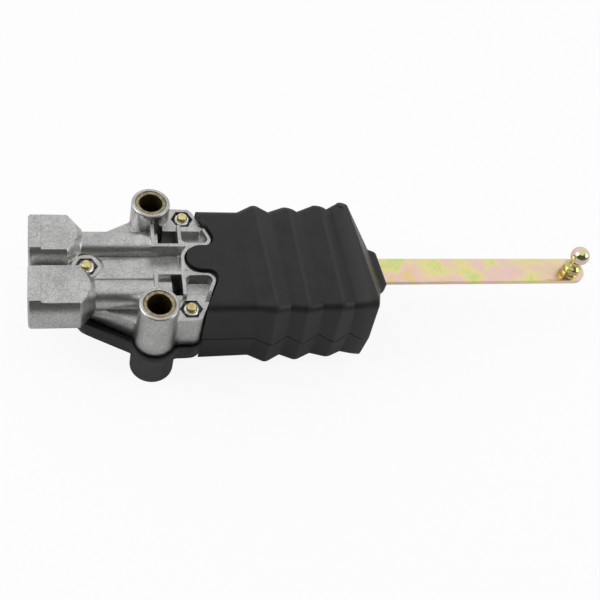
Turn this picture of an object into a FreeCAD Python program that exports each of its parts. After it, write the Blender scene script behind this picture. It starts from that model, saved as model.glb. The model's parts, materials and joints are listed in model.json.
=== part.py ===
import FreeCAD, Part
import math
import os

# Leveling valve: die-cast body, moulded lower cover, rubber boot and swinging lever.
# Millimetres. X runs along the valve towards the lever and Z is up.
# The origin lies midway between the two mounting holes, at their lower ends.

# Mounting bosses and their steel bushes
mount_pitch = 48.4
mount_bore_r = 4.5
bush_wall = 1.5
bush_top_recess = 0.2
boss_height = 41.9
boss_top_wall = 1.5
boss_draft = 0.25
boss_rim_chamfer = 0.5

# Main levels of the body
split_z = 16.9
gasket_thickness = 0.6
flange_thickness = 3.4
rib_top_z = 37.3
nut_pad_z = 34.7
pocket_floor_z = 31.4
plateau_z = 31.0
web_front_z = 28.0
web_back_z = 31.0

# Plan of the body around the foot
foot_left_x = -31.7
foot_left_half_width = 7.6
foot_left_r = 4.3
foot_knee_x = -25.6
foot_knee_half_width = 13.5
foot_knee_r = 3.5
foot_half_width = 27.0
foot_corner_r = 3.0
flank_foot_x = 22.65
flank_foot_y = 11.3
flank_lean_deg = 22.15
horn_r = 3.5
recess_centre_x = 18.1
recess_r = 6.4
boss_join_share = 0.6
boss_join_back = 0.6
boss_join_r = 0.5
boss_blend_r = 2.5

# Ribs on top of the body
rib_thickness = 1.55
rib_line_y = 6.0
rib_start_x = -0.6
rib_cross_x = 9.75
rib_cross_end_y = 16.9
pocket_end_y = 15.6
pocket_corner_r = 0.7
pocket_near_r = 2.2
rib_ramp_length = 3.0
rib_ramp_lead = 0.5
rib_boss_sink = 1.5

# Port bosses
port_y = 12.15
port_z = 29.9
port_r = 11.75
port_flat_height = 8.2
collar_r = 11.75
collar_flat_height = 8.75
collar_chamfer = 0.7
port_face_x = -46.3
collar_end_x = -41.6
port_shoulder_front_x = -27.8
port_shoulder_back_x = -32.0
port_cone_length = 5.5
thread_r = 5.19
thread_depth = 13.0
thread_mouth_chamfer = 0.9
bridge_inset = 1.4
bridge_depth = 5.8
bridge_rise = 1.45

# Air tubes cast between the ports and the ribs
tube_y = 11.3
tube_r = 6.0
tube_shoulder = 0.1
tube_front_end_x = 6.1
tube_back_end_x = 2.2
air_bore_r = 2.6
air_bore_end_x = 0.5
cross_bore_r = 1.4

# Screws and nuts
screw_r = 2.0
screw_clearance = 0.25
screw_length = 25.0
screw_head_height = 2.8
screw_head_af = 7.0
screw_tip_chamfer = 0.4
tip_above_pad = 1.9
nut_af = 7.0
nut_hex_height = 2.4
nut_collar_r = 3.4
nut_collar_height = 3.0
nut_collar_round = 0.9
nut_above_pad = 0.1
nut_pocket_clearance = 0.35
port_nut_x = -25.2
port_nut_ring_z = 32.4
port_nut_ring_r = 5.5
port_nut_ring_wall = 0.9
port_nut_root_r = 6.1
port_nut_flare_r = 6.9
port_nut_flare_height = 0.9
side_nut_x = 12.6
side_nut_y = 21.8

# Lower cover
rim_step = 0.8
rim_front_step = 1.4
rim_web_step = 2.6
rim_corner_r = 5.0
rim_bottom_z = 10.4
rim_wall = 1.8
rim_floor = 1.8
rim_blend_r = 3.0
lip_height = 0.8
lip_gap = 0.3
boss_lip_r = 9.1
boss_lip_low_z = 14.4
gasket_width = 2.6
sleeve_r = 8.5
sleeve_clearance = 0.05
lobe_r = 6.1
screw_post_r = 4.6
head_recess_clearance = 0.5
stem_hole_clearance = 0.6
frame_gap = 0.5
frame_wall = 1.4
frame_skin = 1.6
frame_end_x = 35.2
frame_corner_r = 1.7

# Rubber boot
boot_half_width = 24.4
boot_bottom_z = 3.65
boot_top_z = 38.6
boot_corner_r = 3.5
boot_wall = 1.8
boot_gap = 0.95
boot_start_x = -3.5
boot_crease_x = 36.5
pleat_height = 2.2
pleat_first_x = 43.8
pleat_pitch = 12.7
pleat_count = 4
pleat_valley_height = 0.1
pleat_last_rise = 1.8
boot_rim_width = 1.3
snout_root_x = 89.4
snout_end_x = 93.7
snout_half_width = 8.2
snout_spread = 1.6
snout_root_half_height = 3.6
snout_end_half_height = 2.6
snout_corner_r = 0.8
snout_inner_r = 0.3
snout_wall_share = 0.6
snout_lever_gap = 0.3

# Lever and ball stud
pivot_x = 29.5
lever_top_z = 29.5
lever_thickness = 2.0
lever_width = 12.0
stud_x = 179.6
lever_past_stud = 2.0
stud_offset = 1.8
ball_r = 4.0
ball_height = 12.0
stud_neck_r = 1.9
stud_collar_r = 3.9
stud_collar_height = 2.3
stud_step_r = 3.7
stud_step_height = 2.9
stud_bevel = 1.2
stud_groove = 0.35
stud_shank_r = 2.5
stud_rivet_r = 3.6
stud_rivet_height = 0.9
ball_sink = 0.2

# Pivot shaft and bearings
shaft_r = 2.2
shaft_top_r = 1.7
shaft_collar_r = 3.8
shaft_collar_height = 2.1
shaft_end_gap = 0.3
shaft_top_z = 35.7
shaft_running_gap = 0.05
bearing_wall = 0.8
bearing_flange_r = 4.2
bearing_flange_height = 0.7
bearing_boss_r = 4.9
bearing_end_play = 0.2
top_bearing_z = 32.0
bottom_bearing_top_z = 10.8
plug_height = 1.4
lock_ring_r = 3.6
lock_ring_height = 0.8

# Crank that drives the spool
crank_offset = 4.0
crank_pin_r = 1.2
crank_disc_r = 5.5
crank_disc_z = 18.4
crank_disc_height = 2.3
crank_pin_top_z = 25.0
return_spring_mean_r = 3.3
return_spring_wire_r = 0.35
return_spring_turns = 6
return_spring_gap = 0.3

# Spool valve
spool_z = 23.0
spool_r = 2.8
spool_waist_r = 1.8
spool_running_gap = 0.05
spool_start_x = -13.5
spool_land_end_x = 5.0
spool_stem_r = 1.5
spool_head_x = 21.5
spool_head_height = 2.6
spool_head_gap = 0.1
spool_vent_r = 0.6
spool_vent_stop = 2.0
head_cheek = 1.6
head_tip = 1.7
head_slot_run = 0.4
head_mouth_run = 0.2
head_arm = 1.2
head_flank = 0.3
head_step = 0.7
head_shoulder_x = 1.7
head_shoulder_y = 1.9
head_root_r = 0.4
head_arm_r = 0.6
head_mouth_r = 0.3
head_corner_r = 0.8
waist_length = 3.0
supply_x = -8.0
delivery_x = -1.0
seal_wire_r = 0.45
seal_groove_half = 0.54
sleeve_wall = 1.35
sleeve_start_x = -16.0
sleeve_end_x = 9.0
bore_end_gap = 1.0
circlip_width = 0.9
circlip_depth = 0.6
circlip_step = 0.3
circlip_gap = 2.0
sleeve_hole_r = 0.9

# Inlet check valve, strainers and choke
strainer_r = 4.6
strainer_length = 1.6
strainer_dish_r = 3.2
throat_r = 1.9
throat_length = 1.5
check_chamber_r = 3.4
check_chamber_end_x = -14.0
check_head_r = 3.0
check_seat_gap = 0.05
check_head_length = 2.0
check_nose_length = 0.8
check_nose_taper = 0.5
check_nose_gap = 0.3
check_stem_r = 1.1
check_stem_end_x = -16.6
check_guide_start_x = -19.0
check_guide_length = 2.4
check_guide_gap = 0.08
guide_slot_half = 0.6
guide_slot_depth = 1.2
check_spring_mean_r = 2.2
check_spring_wire_r = 0.25
check_spring_turns = 5
choke_length = 3.0
choke_hole_r = 0.5
choke_x = -24.0

# Length by which a cutter runs past the face that it opens
overrun = 1.0

# Sizes worked out from the ones above
mount_y = mount_pitch / 2
lever_end_x = stud_x + lever_past_stud
bush_r = mount_bore_r + bush_wall
boss_top_r = bush_r + boss_top_wall
boss_foot_r = boss_top_r + boss_draft
cover_top_z = split_z - gasket_thickness
lip_top_z = split_z + lip_height
flank_slope = math.tan(math.radians(flank_lean_deg))
sleeve_outer_r = spool_r + spool_running_gap + sleeve_wall
port_floor_x = port_face_x + thread_depth
strainer_end_x = port_floor_x + strainer_length
lever_bottom_z = lever_top_z - lever_thickness
frame_half_width = boot_half_width - boot_wall
frame_bottom_z = boot_bottom_z + boot_wall
frame_top_z = boot_top_z - boot_wall
plug_top_z = frame_bottom_z + plug_height
crosshead_low_z = spool_z - spool_head_height / 2
lever_mid_z = lever_top_z - lever_thickness / 2

X = FreeCAD.Vector(1, 0, 0)
Y = FreeCAD.Vector(0, 1, 0)
Z = FreeCAD.Vector(0, 0, 1)


def vec(x, y, z):
    return FreeCAD.Vector(x, y, z)


def cylinder_x(r, x0, x1, y, z):
    return Part.makeCylinder(r, x1 - x0, vec(x0, y, z), X)


def cylinder_z(r, z0, z1, x, y):
    return Part.makeCylinder(r, z1 - z0, vec(x, y, z0), Z)


def cone_x(r0, r1, x0, x1, y, z):
    return Part.makeCone(r0, r1, x1 - x0, vec(x0, y, z), X)


def cone_z(r0, r1, z0, z1, x, y):
    return Part.makeCone(r0, r1, z1 - z0, vec(x, y, z0), Z)


def block(x0, x1, y0, y1, z0, z1):
    return Part.makeBox(x1 - x0, y1 - y0, z1 - z0, vec(x0, y0, z0))


def fused(shapes):
    """One solid from shapes that share material."""
    return shapes[0].fuse(shapes[1:]).removeSplitter()


def mirrored(shape):
    """The same shape on the other side of the XZ plane."""
    return shape.mirror(vec(0, 0, 0), Y)


def rounded_wire(corners, z):
    """Closed wire at height z through corners (x, y, radius)."""
    count = len(corners)
    arcs = []
    for i in range(count):
        x, y, r = corners[i]
        here = vec(x, y, z)
        back = vec(corners[i - 1][0], corners[i - 1][1], z) - here
        ahead = vec(corners[(i + 1) % count][0], corners[(i + 1) % count][1], z) - here
        back.normalize()
        ahead.normalize()
        half = math.acos(max(-1.0, min(1.0, back.dot(ahead)))) / 2
        reach = r / math.tan(half)
        bisector = back + ahead
        bisector.normalize()
        middle = here + bisector * (r / math.sin(half) - r)
        arcs.append((here + back * reach, middle, here + ahead * reach, r))
    edges = []
    for i in range(count):
        start, middle, end, r = arcs[i]
        if r > 0:
            edges.append(Part.Arc(start, middle, end).toShape())
        following = arcs[(i + 1) % count][0]
        if (following - end).Length > 1e-6:
            edges.append(Part.makeLine(end, following))
    return Part.Wire(edges)


def slab(corners, z0, z1):
    """Plate with a rounded outline between two heights."""
    return Part.Face(rounded_wire(corners, z0)).extrude(vec(0, 0, z1 - z0))


def grown(corners, distance):
    """The outline moved outwards; corners run anticlockwise."""
    count = len(corners)
    result = []
    for i in range(count):
        x, y, r = corners[i]
        into = vec(x - corners[i - 1][0], y - corners[i - 1][1], 0)
        away = vec(corners[(i + 1) % count][0] - x, corners[(i + 1) % count][1] - y, 0)
        into.normalize()
        away.normalize()
        n0 = vec(into.y, -into.x, 0)
        n1 = vec(away.y, -away.x, 0)
        shift = (n0 + n1) * (distance / (1 + n0.dot(n1)))
        convex = into.cross(away).z > 0
        turn_r = max(0.0, r + distance if convex else r - distance)
        result.append((x + shift.x, y + shift.y, turn_r))
    return result


def flank_x(y):
    """Place of the slanted side wall at a distance y from the middle."""
    return flank_foot_x + flank_slope * (flank_foot_y - y)


def both_sides(front):
    """Anticlockwise outline from its front half, given from left to right."""
    return front + [(x, -y, r) for x, y, r in reversed(front)]


def foot_outline():
    return both_sides([
        (foot_left_x, -foot_left_half_width, foot_left_r),
        (foot_knee_x, -foot_knee_half_width, foot_knee_r),
        (-boss_join_share * boss_foot_r, -mount_y - boss_join_back, boss_join_r),
        (boss_join_share * boss_foot_r, -foot_half_width, boss_join_r),
        (flank_x(foot_half_width), -foot_half_width, foot_corner_r),
        (flank_x(recess_r), -recess_r, horn_r),
        (recess_centre_x - recess_r, -recess_r, recess_r),
    ])


def boss_blend(start, end, circle_r, blend_r, z0, z1):
    """Concave fillet in plan between the front boss and the wall that runs from start to end."""
    centre = vec(0, -mount_y, z0)
    along = vec(end[0] - start[0], end[1] - start[1], 0)
    along.normalize()
    outward = vec(along.y, -along.x, 0)
    if outward.y > 0:
        outward = outward * -1
    depth = outward.dot(centre - vec(start[0], start[1], z0))
    rise = blend_r - depth
    reach = circle_r + blend_r
    hollow = centre + outward * rise + along * math.sqrt(reach ** 2 - rise ** 2)
    foot = hollow - outward * blend_r
    touch = centre + (hollow - centre) * (circle_r / reach)
    patch = Part.Face(Part.makePolygon([centre, touch, hollow, foot, centre]))
    patch = patch.extrude(vec(0, 0, z1 - z0))
    return patch.cut(cylinder_z(blend_r, z0 - overrun, z1 + overrun, hollow.x, hollow.y))


def boss_blends(outline, circle_r, blend_r, z0, left_z, right_z):
    """Fillets on both sides of the front boss."""
    return [
        boss_blend(outline[2], outline[1], circle_r, blend_r, z0, left_z),
        boss_blend(outline[3], outline[4], circle_r, blend_r, z0, right_z),
    ]


def lever_side_outline(gap, half_width, end_x):
    """Plan of what stands beside the body, towards the lever."""
    shifted = grown(foot_outline(), gap)
    horn = shifted[5]
    recess = shifted[6]
    run = flank_slope * (half_width + horn[1])
    front = [
        (end_x, -half_width, 0.0),
        (horn[0] - run, -half_width, 0.0),
        horn,
        recess,
    ]
    corners = front + [(x, -y, r) for x, y, r in reversed(front)]
    return [corners[0]] + corners[:0:-1]


def long_box_section(x, half_width, z_low, z_high, r):
    """Rounded rectangle across the X axis."""
    corners = [
        (-half_width, z_low, r),
        (half_width, z_low, r),
        (half_width, z_high, r),
        (-half_width, z_high, r),
    ]
    wire = rounded_wire(corners, 0)
    wire.rotate(vec(0, 0, 0), vec(1, 1, 1), 120)
    wire.translate(vec(x, 0, 0))
    return wire


def lofted(wires):
    return Part.makeLoft(wires, True, True)


def ring_x(x, mean_r, wire_r, y, z):
    return Part.makeTorus(mean_r, wire_r, vec(x, y, z), X)


def coil(mean_r, wire_r, low, high, turns):
    """Helical spring along Z between two heights, centred on the Z axis."""
    height = high - low - 2 * wire_r
    path = Part.makeHelix(height / turns, height, mean_r)
    section = Part.Wire(Part.makeCircle(wire_r, vec(mean_r, 0, 0), Y))
    spring = Part.Wire(path.Edges).makePipeShell([section], True, True)
    spring.translate(vec(0, 0, low + wire_r))
    return spring


def hex_prism(af, z0, z1, x, y):
    corner_r = af / math.sqrt(3)
    points = [
        vec(x + corner_r * math.cos(math.radians(a)), y + corner_r * math.sin(math.radians(a)), z0)
        for a in range(0, 361, 60)
    ]
    return Part.Face(Part.makePolygon(points)).extrude(vec(0, 0, z1 - z0))


# Each fixing: place, pad height
fixings = [
    (port_nut_x, 0.0, port_nut_ring_z),
    (side_nut_x, -side_nut_y, nut_pad_z),
    (side_nut_x, side_nut_y, nut_pad_z),
]


def screw_tip_z(pad_z):
    return pad_z + tip_above_pad


def screw_seat_z(pad_z):
    return screw_tip_z(pad_z) - screw_length


def nut_floor_z(pad_z):
    return pad_z + nut_above_pad - nut_hex_height - nut_collar_height


# Valve body

def port_boss(side, shoulder_x):
    """Round port with flats, a collar at its mouth and a cone down to the tube."""
    y = side * port_y
    cone_end_x = shoulder_x + port_cone_length
    barrel = cylinder_x(port_r, collar_end_x, shoulder_x, y, port_z)
    cone = cone_x(port_r, tube_r + tube_shoulder, shoulder_x, cone_end_x, y, port_z)
    boss = fused([barrel, cone])
    collar = fused([
        cylinder_x(collar_r, port_face_x + collar_chamfer, collar_end_x, y, port_z),
        cone_x(collar_r - collar_chamfer, collar_r, port_face_x, port_face_x + collar_chamfer,
               y, port_z),
    ])
    for up in (-1, 1):
        boss = boss.cut(flat_cutter(y, up, port_flat_height, cone_end_x))
        collar = collar.cut(flat_cutter(y, up, collar_flat_height, cone_end_x))
    return fused([boss, collar])


def flat_cutter(y, up, height, end_x):
    """Block that planes the top or bottom of a port."""
    z0 = port_z + up * height
    z1 = port_z + up * 2 * port_r
    return block(port_face_x - overrun, end_x + overrun, y - 2 * port_r, y + 2 * port_r,
                 min(z0, z1), max(z0, z1))


def mount_boss(side):
    y = side * mount_y
    rim_z = boss_height - boss_rim_chamfer
    shank = cone_z(boss_foot_r, boss_top_r, split_z, rim_z, 0, y)
    rim = cone_z(boss_top_r, boss_top_r - boss_rim_chamfer, rim_z, boss_height, 0, y)
    return fused([shank, rim])


def rib_crown():
    """Thin walls that stand round the pockets and the recess for the boot."""
    outline = slab(foot_outline(), pocket_floor_z, rib_top_z)
    right = block(rib_cross_x + rib_thickness, foot_half_width * 2, rib_line_y,
                  pocket_end_y + rib_ramp_length, pocket_floor_z, rib_top_z)
    arc_wall = cylinder_z(recess_r + rib_thickness, pocket_floor_z, rib_top_z, recess_centre_x, 0)
    crown = outline.common(fused([right, mirrored(right), arc_wall]))
    return crown.cut([end_ramp(-1), end_ramp(1)])


def between_ribs(side, end_y, floor_z):
    """Room between the cross rib and the rib on the flank, down to a floor."""
    inner = grown(foot_outline(), -rib_thickness)
    near_y = recess_r + rib_thickness
    slope_at = inner[5][0] + flank_slope * (-inner[5][1] - near_y)
    far_x = slope_at - flank_slope * (end_y - near_y)
    corners = [
        (rib_cross_x + rib_thickness, -end_y, pocket_corner_r),
        (far_x, -end_y, pocket_corner_r),
        (slope_at, -near_y, horn_r - rib_thickness),
        (rib_cross_x + rib_thickness, -near_y, pocket_near_r),
    ]
    room = slab(corners, floor_z, rib_top_z + overrun)
    return room if side < 0 else mirrored(room)


def end_ramp(side):
    """Slope from the rib tops down to the nut pad."""
    y0 = pocket_end_y - rib_ramp_lead
    y1 = pocket_end_y + rib_ramp_length
    x0 = rib_cross_x + rib_thickness
    profile = Part.makePolygon([
        vec(x0, y0, rib_top_z),
        vec(x0, y1, nut_pad_z),
        vec(x0, y1 + overrun, rib_top_z + overrun),
        vec(x0, y0, rib_top_z + overrun),
        vec(x0, y0, rib_top_z),
    ])
    ramp = Part.Face(profile).extrude(vec(2 * foot_half_width, 0, 0))
    return ramp if side > 0 else mirrored(ramp)


def straight_ribs(side):
    """Wall beside the plateau, end wall at the boss and the rib to the nut pad."""
    low = split_z + flange_thickness / 2
    line = block(rib_start_x, rib_cross_x + rib_thickness, rib_line_y, rib_line_y + rib_thickness,
                 low, rib_top_z)
    end = block(rib_start_x, rib_start_x + rib_thickness,
                rib_line_y, mount_y - boss_top_r + rib_boss_sink, low, rib_top_z)
    cross = block(rib_cross_x, rib_cross_x + rib_thickness, rib_line_y, rib_cross_end_y,
                  low, rib_top_z)
    ribs = fused([line, end, cross])
    return ribs if side > 0 else mirrored(ribs)


def foot_part(x0, x1, y0, y1, top_z):
    """Part of the foot's outline between two heights."""
    return slab(foot_outline(), split_z, top_z).common(block(x0, x1, y0, y1, split_z, top_z))


def body_core():
    """Foot, webs beside the tubes and the solid ground under the plateau and the nuts."""
    far = 2 * foot_half_width
    pocket_x0 = rib_start_x + rib_thickness
    webs = [
        foot_part(foot_left_x, pocket_x0, -far, 0, web_front_z),
        foot_part(foot_left_x, pocket_x0, 0, far, web_back_z),
    ]
    floor = foot_part(pocket_x0, rib_cross_x, -far, far, split_z + flange_thickness)
    ground = foot_part(rib_cross_x, far, -far, far, pocket_floor_z)
    plateau = foot_part(foot_left_x, recess_centre_x - recess_r - rib_thickness / 2,
                        -rib_line_y - rib_thickness / 2, rib_line_y + rib_thickness / 2, plateau_z)
    pads = [
        foot_part(mount_bore_r, far, -far, -pocket_end_y, nut_pad_z),
        foot_part(mount_bore_r, far, pocket_end_y, far, nut_pad_z),
    ]
    bridge = block(port_face_x + bridge_inset, foot_left_x + overrun, -port_y / 2, port_y / 2,
                   port_z - bridge_depth, port_z + bridge_rise)
    return webs + [floor, ground, plateau, bridge] + pads


def body_cuts():
    """Everything drilled, bored and cored out of the casting."""
    cuts = []
    for side in (-1, 1):
        cuts.append(cylinder_z(bush_r, split_z - overrun, boss_height + overrun, 0, side * mount_y))
        cuts.append(cylinder_x(thread_r, port_face_x - overrun, port_floor_x, side * port_y, port_z))
        cuts.append(cone_x(thread_r + thread_mouth_chamfer, thread_r, port_face_x,
                           port_face_x + thread_mouth_chamfer, side * port_y, port_z))
        cuts.append(cylinder_x(strainer_r, port_floor_x, strainer_end_x, side * port_y, port_z))
        cuts.append(between_ribs(side, pocket_end_y, pocket_floor_z))
        cuts.append(between_ribs(side, pocket_end_y + 2 * rib_ramp_length, nut_pad_z))
    cuts.append(cylinder_x(air_bore_r, strainer_end_x, air_bore_end_x, -tube_y, port_z))
    cuts.append(cylinder_x(throat_r, strainer_end_x, strainer_end_x + throat_length, tube_y, port_z))
    cuts.append(cylinder_x(check_chamber_r, strainer_end_x + throat_length, check_chamber_end_x,
                           tube_y, port_z))
    cuts.append(cylinder_x(air_bore_r, check_chamber_end_x, supply_x + air_bore_r, tube_y, port_z))
    cuts.append(cylinder_x(sleeve_outer_r, sleeve_start_x - bore_end_gap, recess_centre_x, 0, spool_z))
    cuts.append(cylinder_x(sleeve_outer_r + circlip_depth, sleeve_end_x, sleeve_end_x + circlip_width,
                           0, spool_z))
    cuts.append(cross_bore(supply_x, tube_y))
    cuts.append(cross_bore(delivery_x, -tube_y))
    for x, y, pad_z in fixings:
        cuts.append(cylinder_z(screw_r + screw_clearance, split_z - overrun, pad_z + overrun, x, y))
        cuts.append(hex_prism(nut_af + 2 * nut_pocket_clearance, nut_floor_z(pad_z), pad_z + overrun,
                              x, y))
    cuts.append(cylinder_z(port_nut_ring_r - port_nut_ring_wall, port_nut_ring_z, port_z + port_r,
                           port_nut_x, 0))
    return cuts


def cross_bore(x, y):
    """Air way from a tube bore down to the spool sleeve."""
    start = vec(x, y, port_z)
    end = vec(x, 0, spool_z)
    way = end - start
    return Part.makeCylinder(cross_bore_r, way.Length - spool_r, start, way)


def valve_body():
    parts = body_core()
    parts.append(port_boss(-1, port_shoulder_front_x))
    parts.append(port_boss(1, port_shoulder_back_x))
    parts.append(cylinder_x(tube_r, port_shoulder_front_x, tube_front_end_x, -tube_y, port_z))
    parts.append(cylinder_x(tube_r, port_shoulder_back_x, tube_back_end_x, tube_y, port_z))
    for side in (-1, 1):
        parts.append(mount_boss(side))
        parts.append(straight_ribs(side))
    parts.extend(boss_blends(foot_outline(), boss_top_r, boss_blend_r, split_z, web_front_z, nut_pad_z))
    for fillet in boss_blends(foot_outline(), boss_top_r, boss_blend_r, split_z, web_back_z, nut_pad_z):
        parts.append(mirrored(fillet))
    parts.append(rib_crown())
    parts.append(cone_z(port_nut_root_r, port_nut_ring_r, split_z, port_nut_ring_z, port_nut_x, 0))
    parts.append(cone_z(port_nut_flare_r, port_nut_ring_r, plateau_z, plateau_z + port_nut_flare_height,
                        port_nut_x, 0))
    return parts[0].fuse(parts[1:]).cut(body_cuts()).removeSplitter()


# Cover side

def cover_gasket():
    outline = foot_outline()
    sheet = slab(outline, cover_top_z, split_z)
    parts = [sheet]
    for side in (-1, 1):
        parts.append(cylinder_z(boss_foot_r, cover_top_z, split_z, 0, side * mount_y))
    sheet = fused(parts)
    window = slab(grown(outline, -gasket_width), cover_top_z, split_z)
    keep = []
    for x, y, pad_z in fixings:
        keep.append(cylinder_z(screw_post_r, cover_top_z, split_z, x, y))
    for side in (-1, 1):
        keep.append(cylinder_z(boss_foot_r, cover_top_z, split_z, 0, side * mount_y))
    sheet = sheet.cut(window.cut(keep))
    for x, y, pad_z in fixings:
        sheet = sheet.cut(cylinder_z(screw_r + screw_clearance, cover_top_z, split_z, x, y))
    for side in (-1, 1):
        sheet = sheet.cut(cylinder_z(bush_r + sleeve_clearance, cover_top_z, split_z, 0, side * mount_y))
    return sheet


def boot_frame():
    """Box that carries the boot and the shaft bearings, open towards the lever."""
    plan = lever_side_outline(frame_gap, frame_half_width, frame_end_x)
    tube = lofted([
        long_box_section(0, frame_half_width, frame_bottom_z, frame_top_z, frame_corner_r),
        long_box_section(frame_end_x, frame_half_width, frame_bottom_z, frame_top_z, frame_corner_r),
    ])
    outer = slab(plan, frame_bottom_z, frame_top_z).common(tube)
    inner_plan = lever_side_outline(frame_gap + frame_wall, frame_half_width - frame_wall,
                                    frame_end_x + overrun)
    inner = slab(inner_plan, frame_bottom_z + frame_skin, frame_top_z - frame_skin)
    return outer, inner


def rim_outline():
    """Plan of the rim, which stands out more in front and most beside the slanting webs."""
    front = grown(foot_outline(), rim_step)[:7]
    web = vec(front[2][0] - front[1][0], front[2][1] - front[1][1], 0)
    web.normalize()
    shift = vec(web.y, -web.x, 0) * (rim_web_step - rim_step)
    more = rim_front_step - rim_step
    front[1] = (front[1][0] + shift.x, front[1][1] + shift.y, front[1][2])
    front[2] = (front[2][0] + shift.x, front[2][1] + shift.y, front[2][2])
    front[3] = (front[3][0], front[3][1] - more, front[3][2])
    front[4] = (front[4][0] + flank_slope * more, front[4][1] - more, rim_corner_r)
    return both_sides(front)


def cover_tray():
    """Rim with its lip and the bosses' collars, and the hollow under the casting."""
    outline = rim_outline()
    parts = [slab(outline, rim_bottom_z, lip_top_z)]
    front = boss_blends(outline, sleeve_r, rim_blend_r, rim_bottom_z, boss_lip_low_z, boss_lip_low_z)
    front += boss_blends(outline, boss_lip_r, rim_blend_r, boss_lip_low_z, lip_top_z, lip_top_z)
    front.append(cylinder_z(boss_lip_r, boss_lip_low_z, lip_top_z, 0, -mount_y))
    parts.extend(front + [mirrored(shape) for shape in front])
    hollow = slab(grown(foot_outline(), rim_step - rim_wall), rim_bottom_z + rim_floor,
                  cover_top_z + overrun)
    return fused(parts), hollow


def casting_seat():
    """Room inside the lip for the foot of the casting and its bosses."""
    outline = grown(foot_outline(), lip_gap)
    high = lip_top_z + overrun
    front = boss_blends(outline, boss_foot_r + lip_gap, boss_blend_r - lip_gap, cover_top_z, high, high)
    front.append(cylinder_z(boss_foot_r + lip_gap, cover_top_z, high, 0, -mount_y))
    return [slab(outline, cover_top_z, high)] + front + [mirrored(shape) for shape in front]


def lower_cover():
    rim, hollow = cover_tray()
    frame, frame_hollow = boot_frame()
    solids = []
    holes = casting_seat()
    for side in (-1, 1):
        y = side * mount_y
        solids.append(cylinder_z(sleeve_r, 0, cover_top_z, 0, y))
        holes.append(cylinder_z(bush_r + sleeve_clearance, -overrun, cover_top_z + overrun, 0, y))
    for x, y, pad_z in fixings:
        seat_z = screw_seat_z(pad_z)
        post_r = lobe_r if y else screw_post_r
        solids.append(cylinder_z(post_r, min(rim_bottom_z, seat_z), cover_top_z, x, y))
        holes.append(cylinder_z(screw_r + screw_clearance, 0, cover_top_z + overrun, x, y))
        head_r = screw_head_af / math.sqrt(3) + head_recess_clearance
        holes.append(cylinder_z(head_r, seat_z - screw_head_height - overrun, seat_z, x, y))
    bearing_r = shaft_r + shaft_running_gap + bearing_wall
    top_bearing_r = shaft_top_r + shaft_running_gap + bearing_wall
    solids.append(cylinder_z(bearing_boss_r, frame_bottom_z, bottom_bearing_top_z, pivot_x, 0))
    solids.append(cylinder_z(bearing_boss_r, top_bearing_z, frame_top_z, pivot_x, 0))
    holes.append(cylinder_z(bearing_r, frame_bottom_z - overrun, bottom_bearing_top_z, pivot_x, 0))
    holes.append(cylinder_z(top_bearing_r, top_bearing_z, shaft_top_z + bearing_end_play, pivot_x, 0))
    holes.append(cylinder_x(spool_stem_r + stem_hole_clearance, recess_centre_x - 2 * recess_r,
                            recess_centre_x, 0, spool_z))
    shell = rim.fuse(frame).cut([hollow, frame_hollow]).fuse(solids)
    return shell.cut(holes).removeSplitter()


def mount_bush(side):
    top = boss_height - bush_top_recess
    tube = cylinder_z(bush_r, 0, top, 0, side * mount_y)
    return tube.cut(cylinder_z(mount_bore_r, -overrun, top + overrun, 0, side * mount_y))


def cover_screw(x, y, pad_z):
    seat_z = screw_seat_z(pad_z)
    tip_z = screw_tip_z(pad_z)
    shank = cylinder_z(screw_r, seat_z, tip_z - screw_tip_chamfer, x, y)
    tip = cone_z(screw_r, screw_r - screw_tip_chamfer, tip_z - screw_tip_chamfer, tip_z, x, y)
    head = hex_prism(screw_head_af, seat_z - screw_head_height, seat_z, x, y)
    return fused([shank, tip, head])


def cover_nut(x, y, pad_z):
    """Locking nut: hexagon with a round collar on top."""
    floor_z = nut_floor_z(pad_z)
    top_z = floor_z + nut_hex_height
    hexagon = hex_prism(nut_af, floor_z, top_z, x, y)
    collar = cylinder_z(nut_collar_r, top_z, top_z + nut_collar_height, x, y)
    upper_edges = [e for e in collar.Edges if e.BoundBox.ZMin > top_z + nut_collar_height / 2]
    collar = collar.makeFillet(nut_collar_round, upper_edges)
    nut = fused([hexagon, collar])
    return nut.cut(cylinder_z(screw_r, floor_z - overrun, top_z + nut_collar_height + overrun, x, y))


# Rubber boot

def pleat_stations():
    """Places along the boot: x, growth of the section, rise of its middle."""
    stations = [(boot_crease_x, 0.0, 0.0)]
    for i in range(pleat_count):
        ridge_x = pleat_first_x + i * pleat_pitch
        rise = pleat_last_rise * max(0.0, (i - 1) / (pleat_count - 2)) ** 2
        stations.append((ridge_x, pleat_height, rise))
        if i < pleat_count - 1:
            next_rise = pleat_last_rise * max(0.0, (i - 0.5) / (pleat_count - 2)) ** 2
            stations.append((ridge_x + pleat_pitch / 2, pleat_valley_height, next_rise))
    last_x, growth, rise = stations[-1]
    stations.append((last_x + boot_rim_width, growth, rise))
    return stations


def boot_skin(inset):
    """Closed form of the boot, moved in by the inset."""
    sections = [(boot_start_x, 0.0, 0.0)] + pleat_stations()
    wires = []
    for x, growth, rise in sections:
        size = growth - inset
        wires.append(long_box_section(x, boot_half_width + size, boot_bottom_z - size + rise,
                                      boot_top_z + size + rise, boot_corner_r - inset))
    end_shift = inset * snout_wall_share
    wires.append(snout_section(snout_root_x - end_shift, snout_half_width + snout_spread,
                               snout_root_half_height, inset))
    if inset == 0:
        wires.append(snout_section(snout_end_x, snout_half_width, snout_end_half_height, inset))
    return lofted(wires)


def snout_section(x, half_width, half_height, inset):
    """Section of the mouth that the lever comes out of."""
    corner_r = snout_corner_r if inset == 0 else snout_inner_r
    return long_box_section(x, half_width - inset, lever_mid_z - half_height + inset,
                            lever_mid_z + half_height - inset, corner_r)


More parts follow.
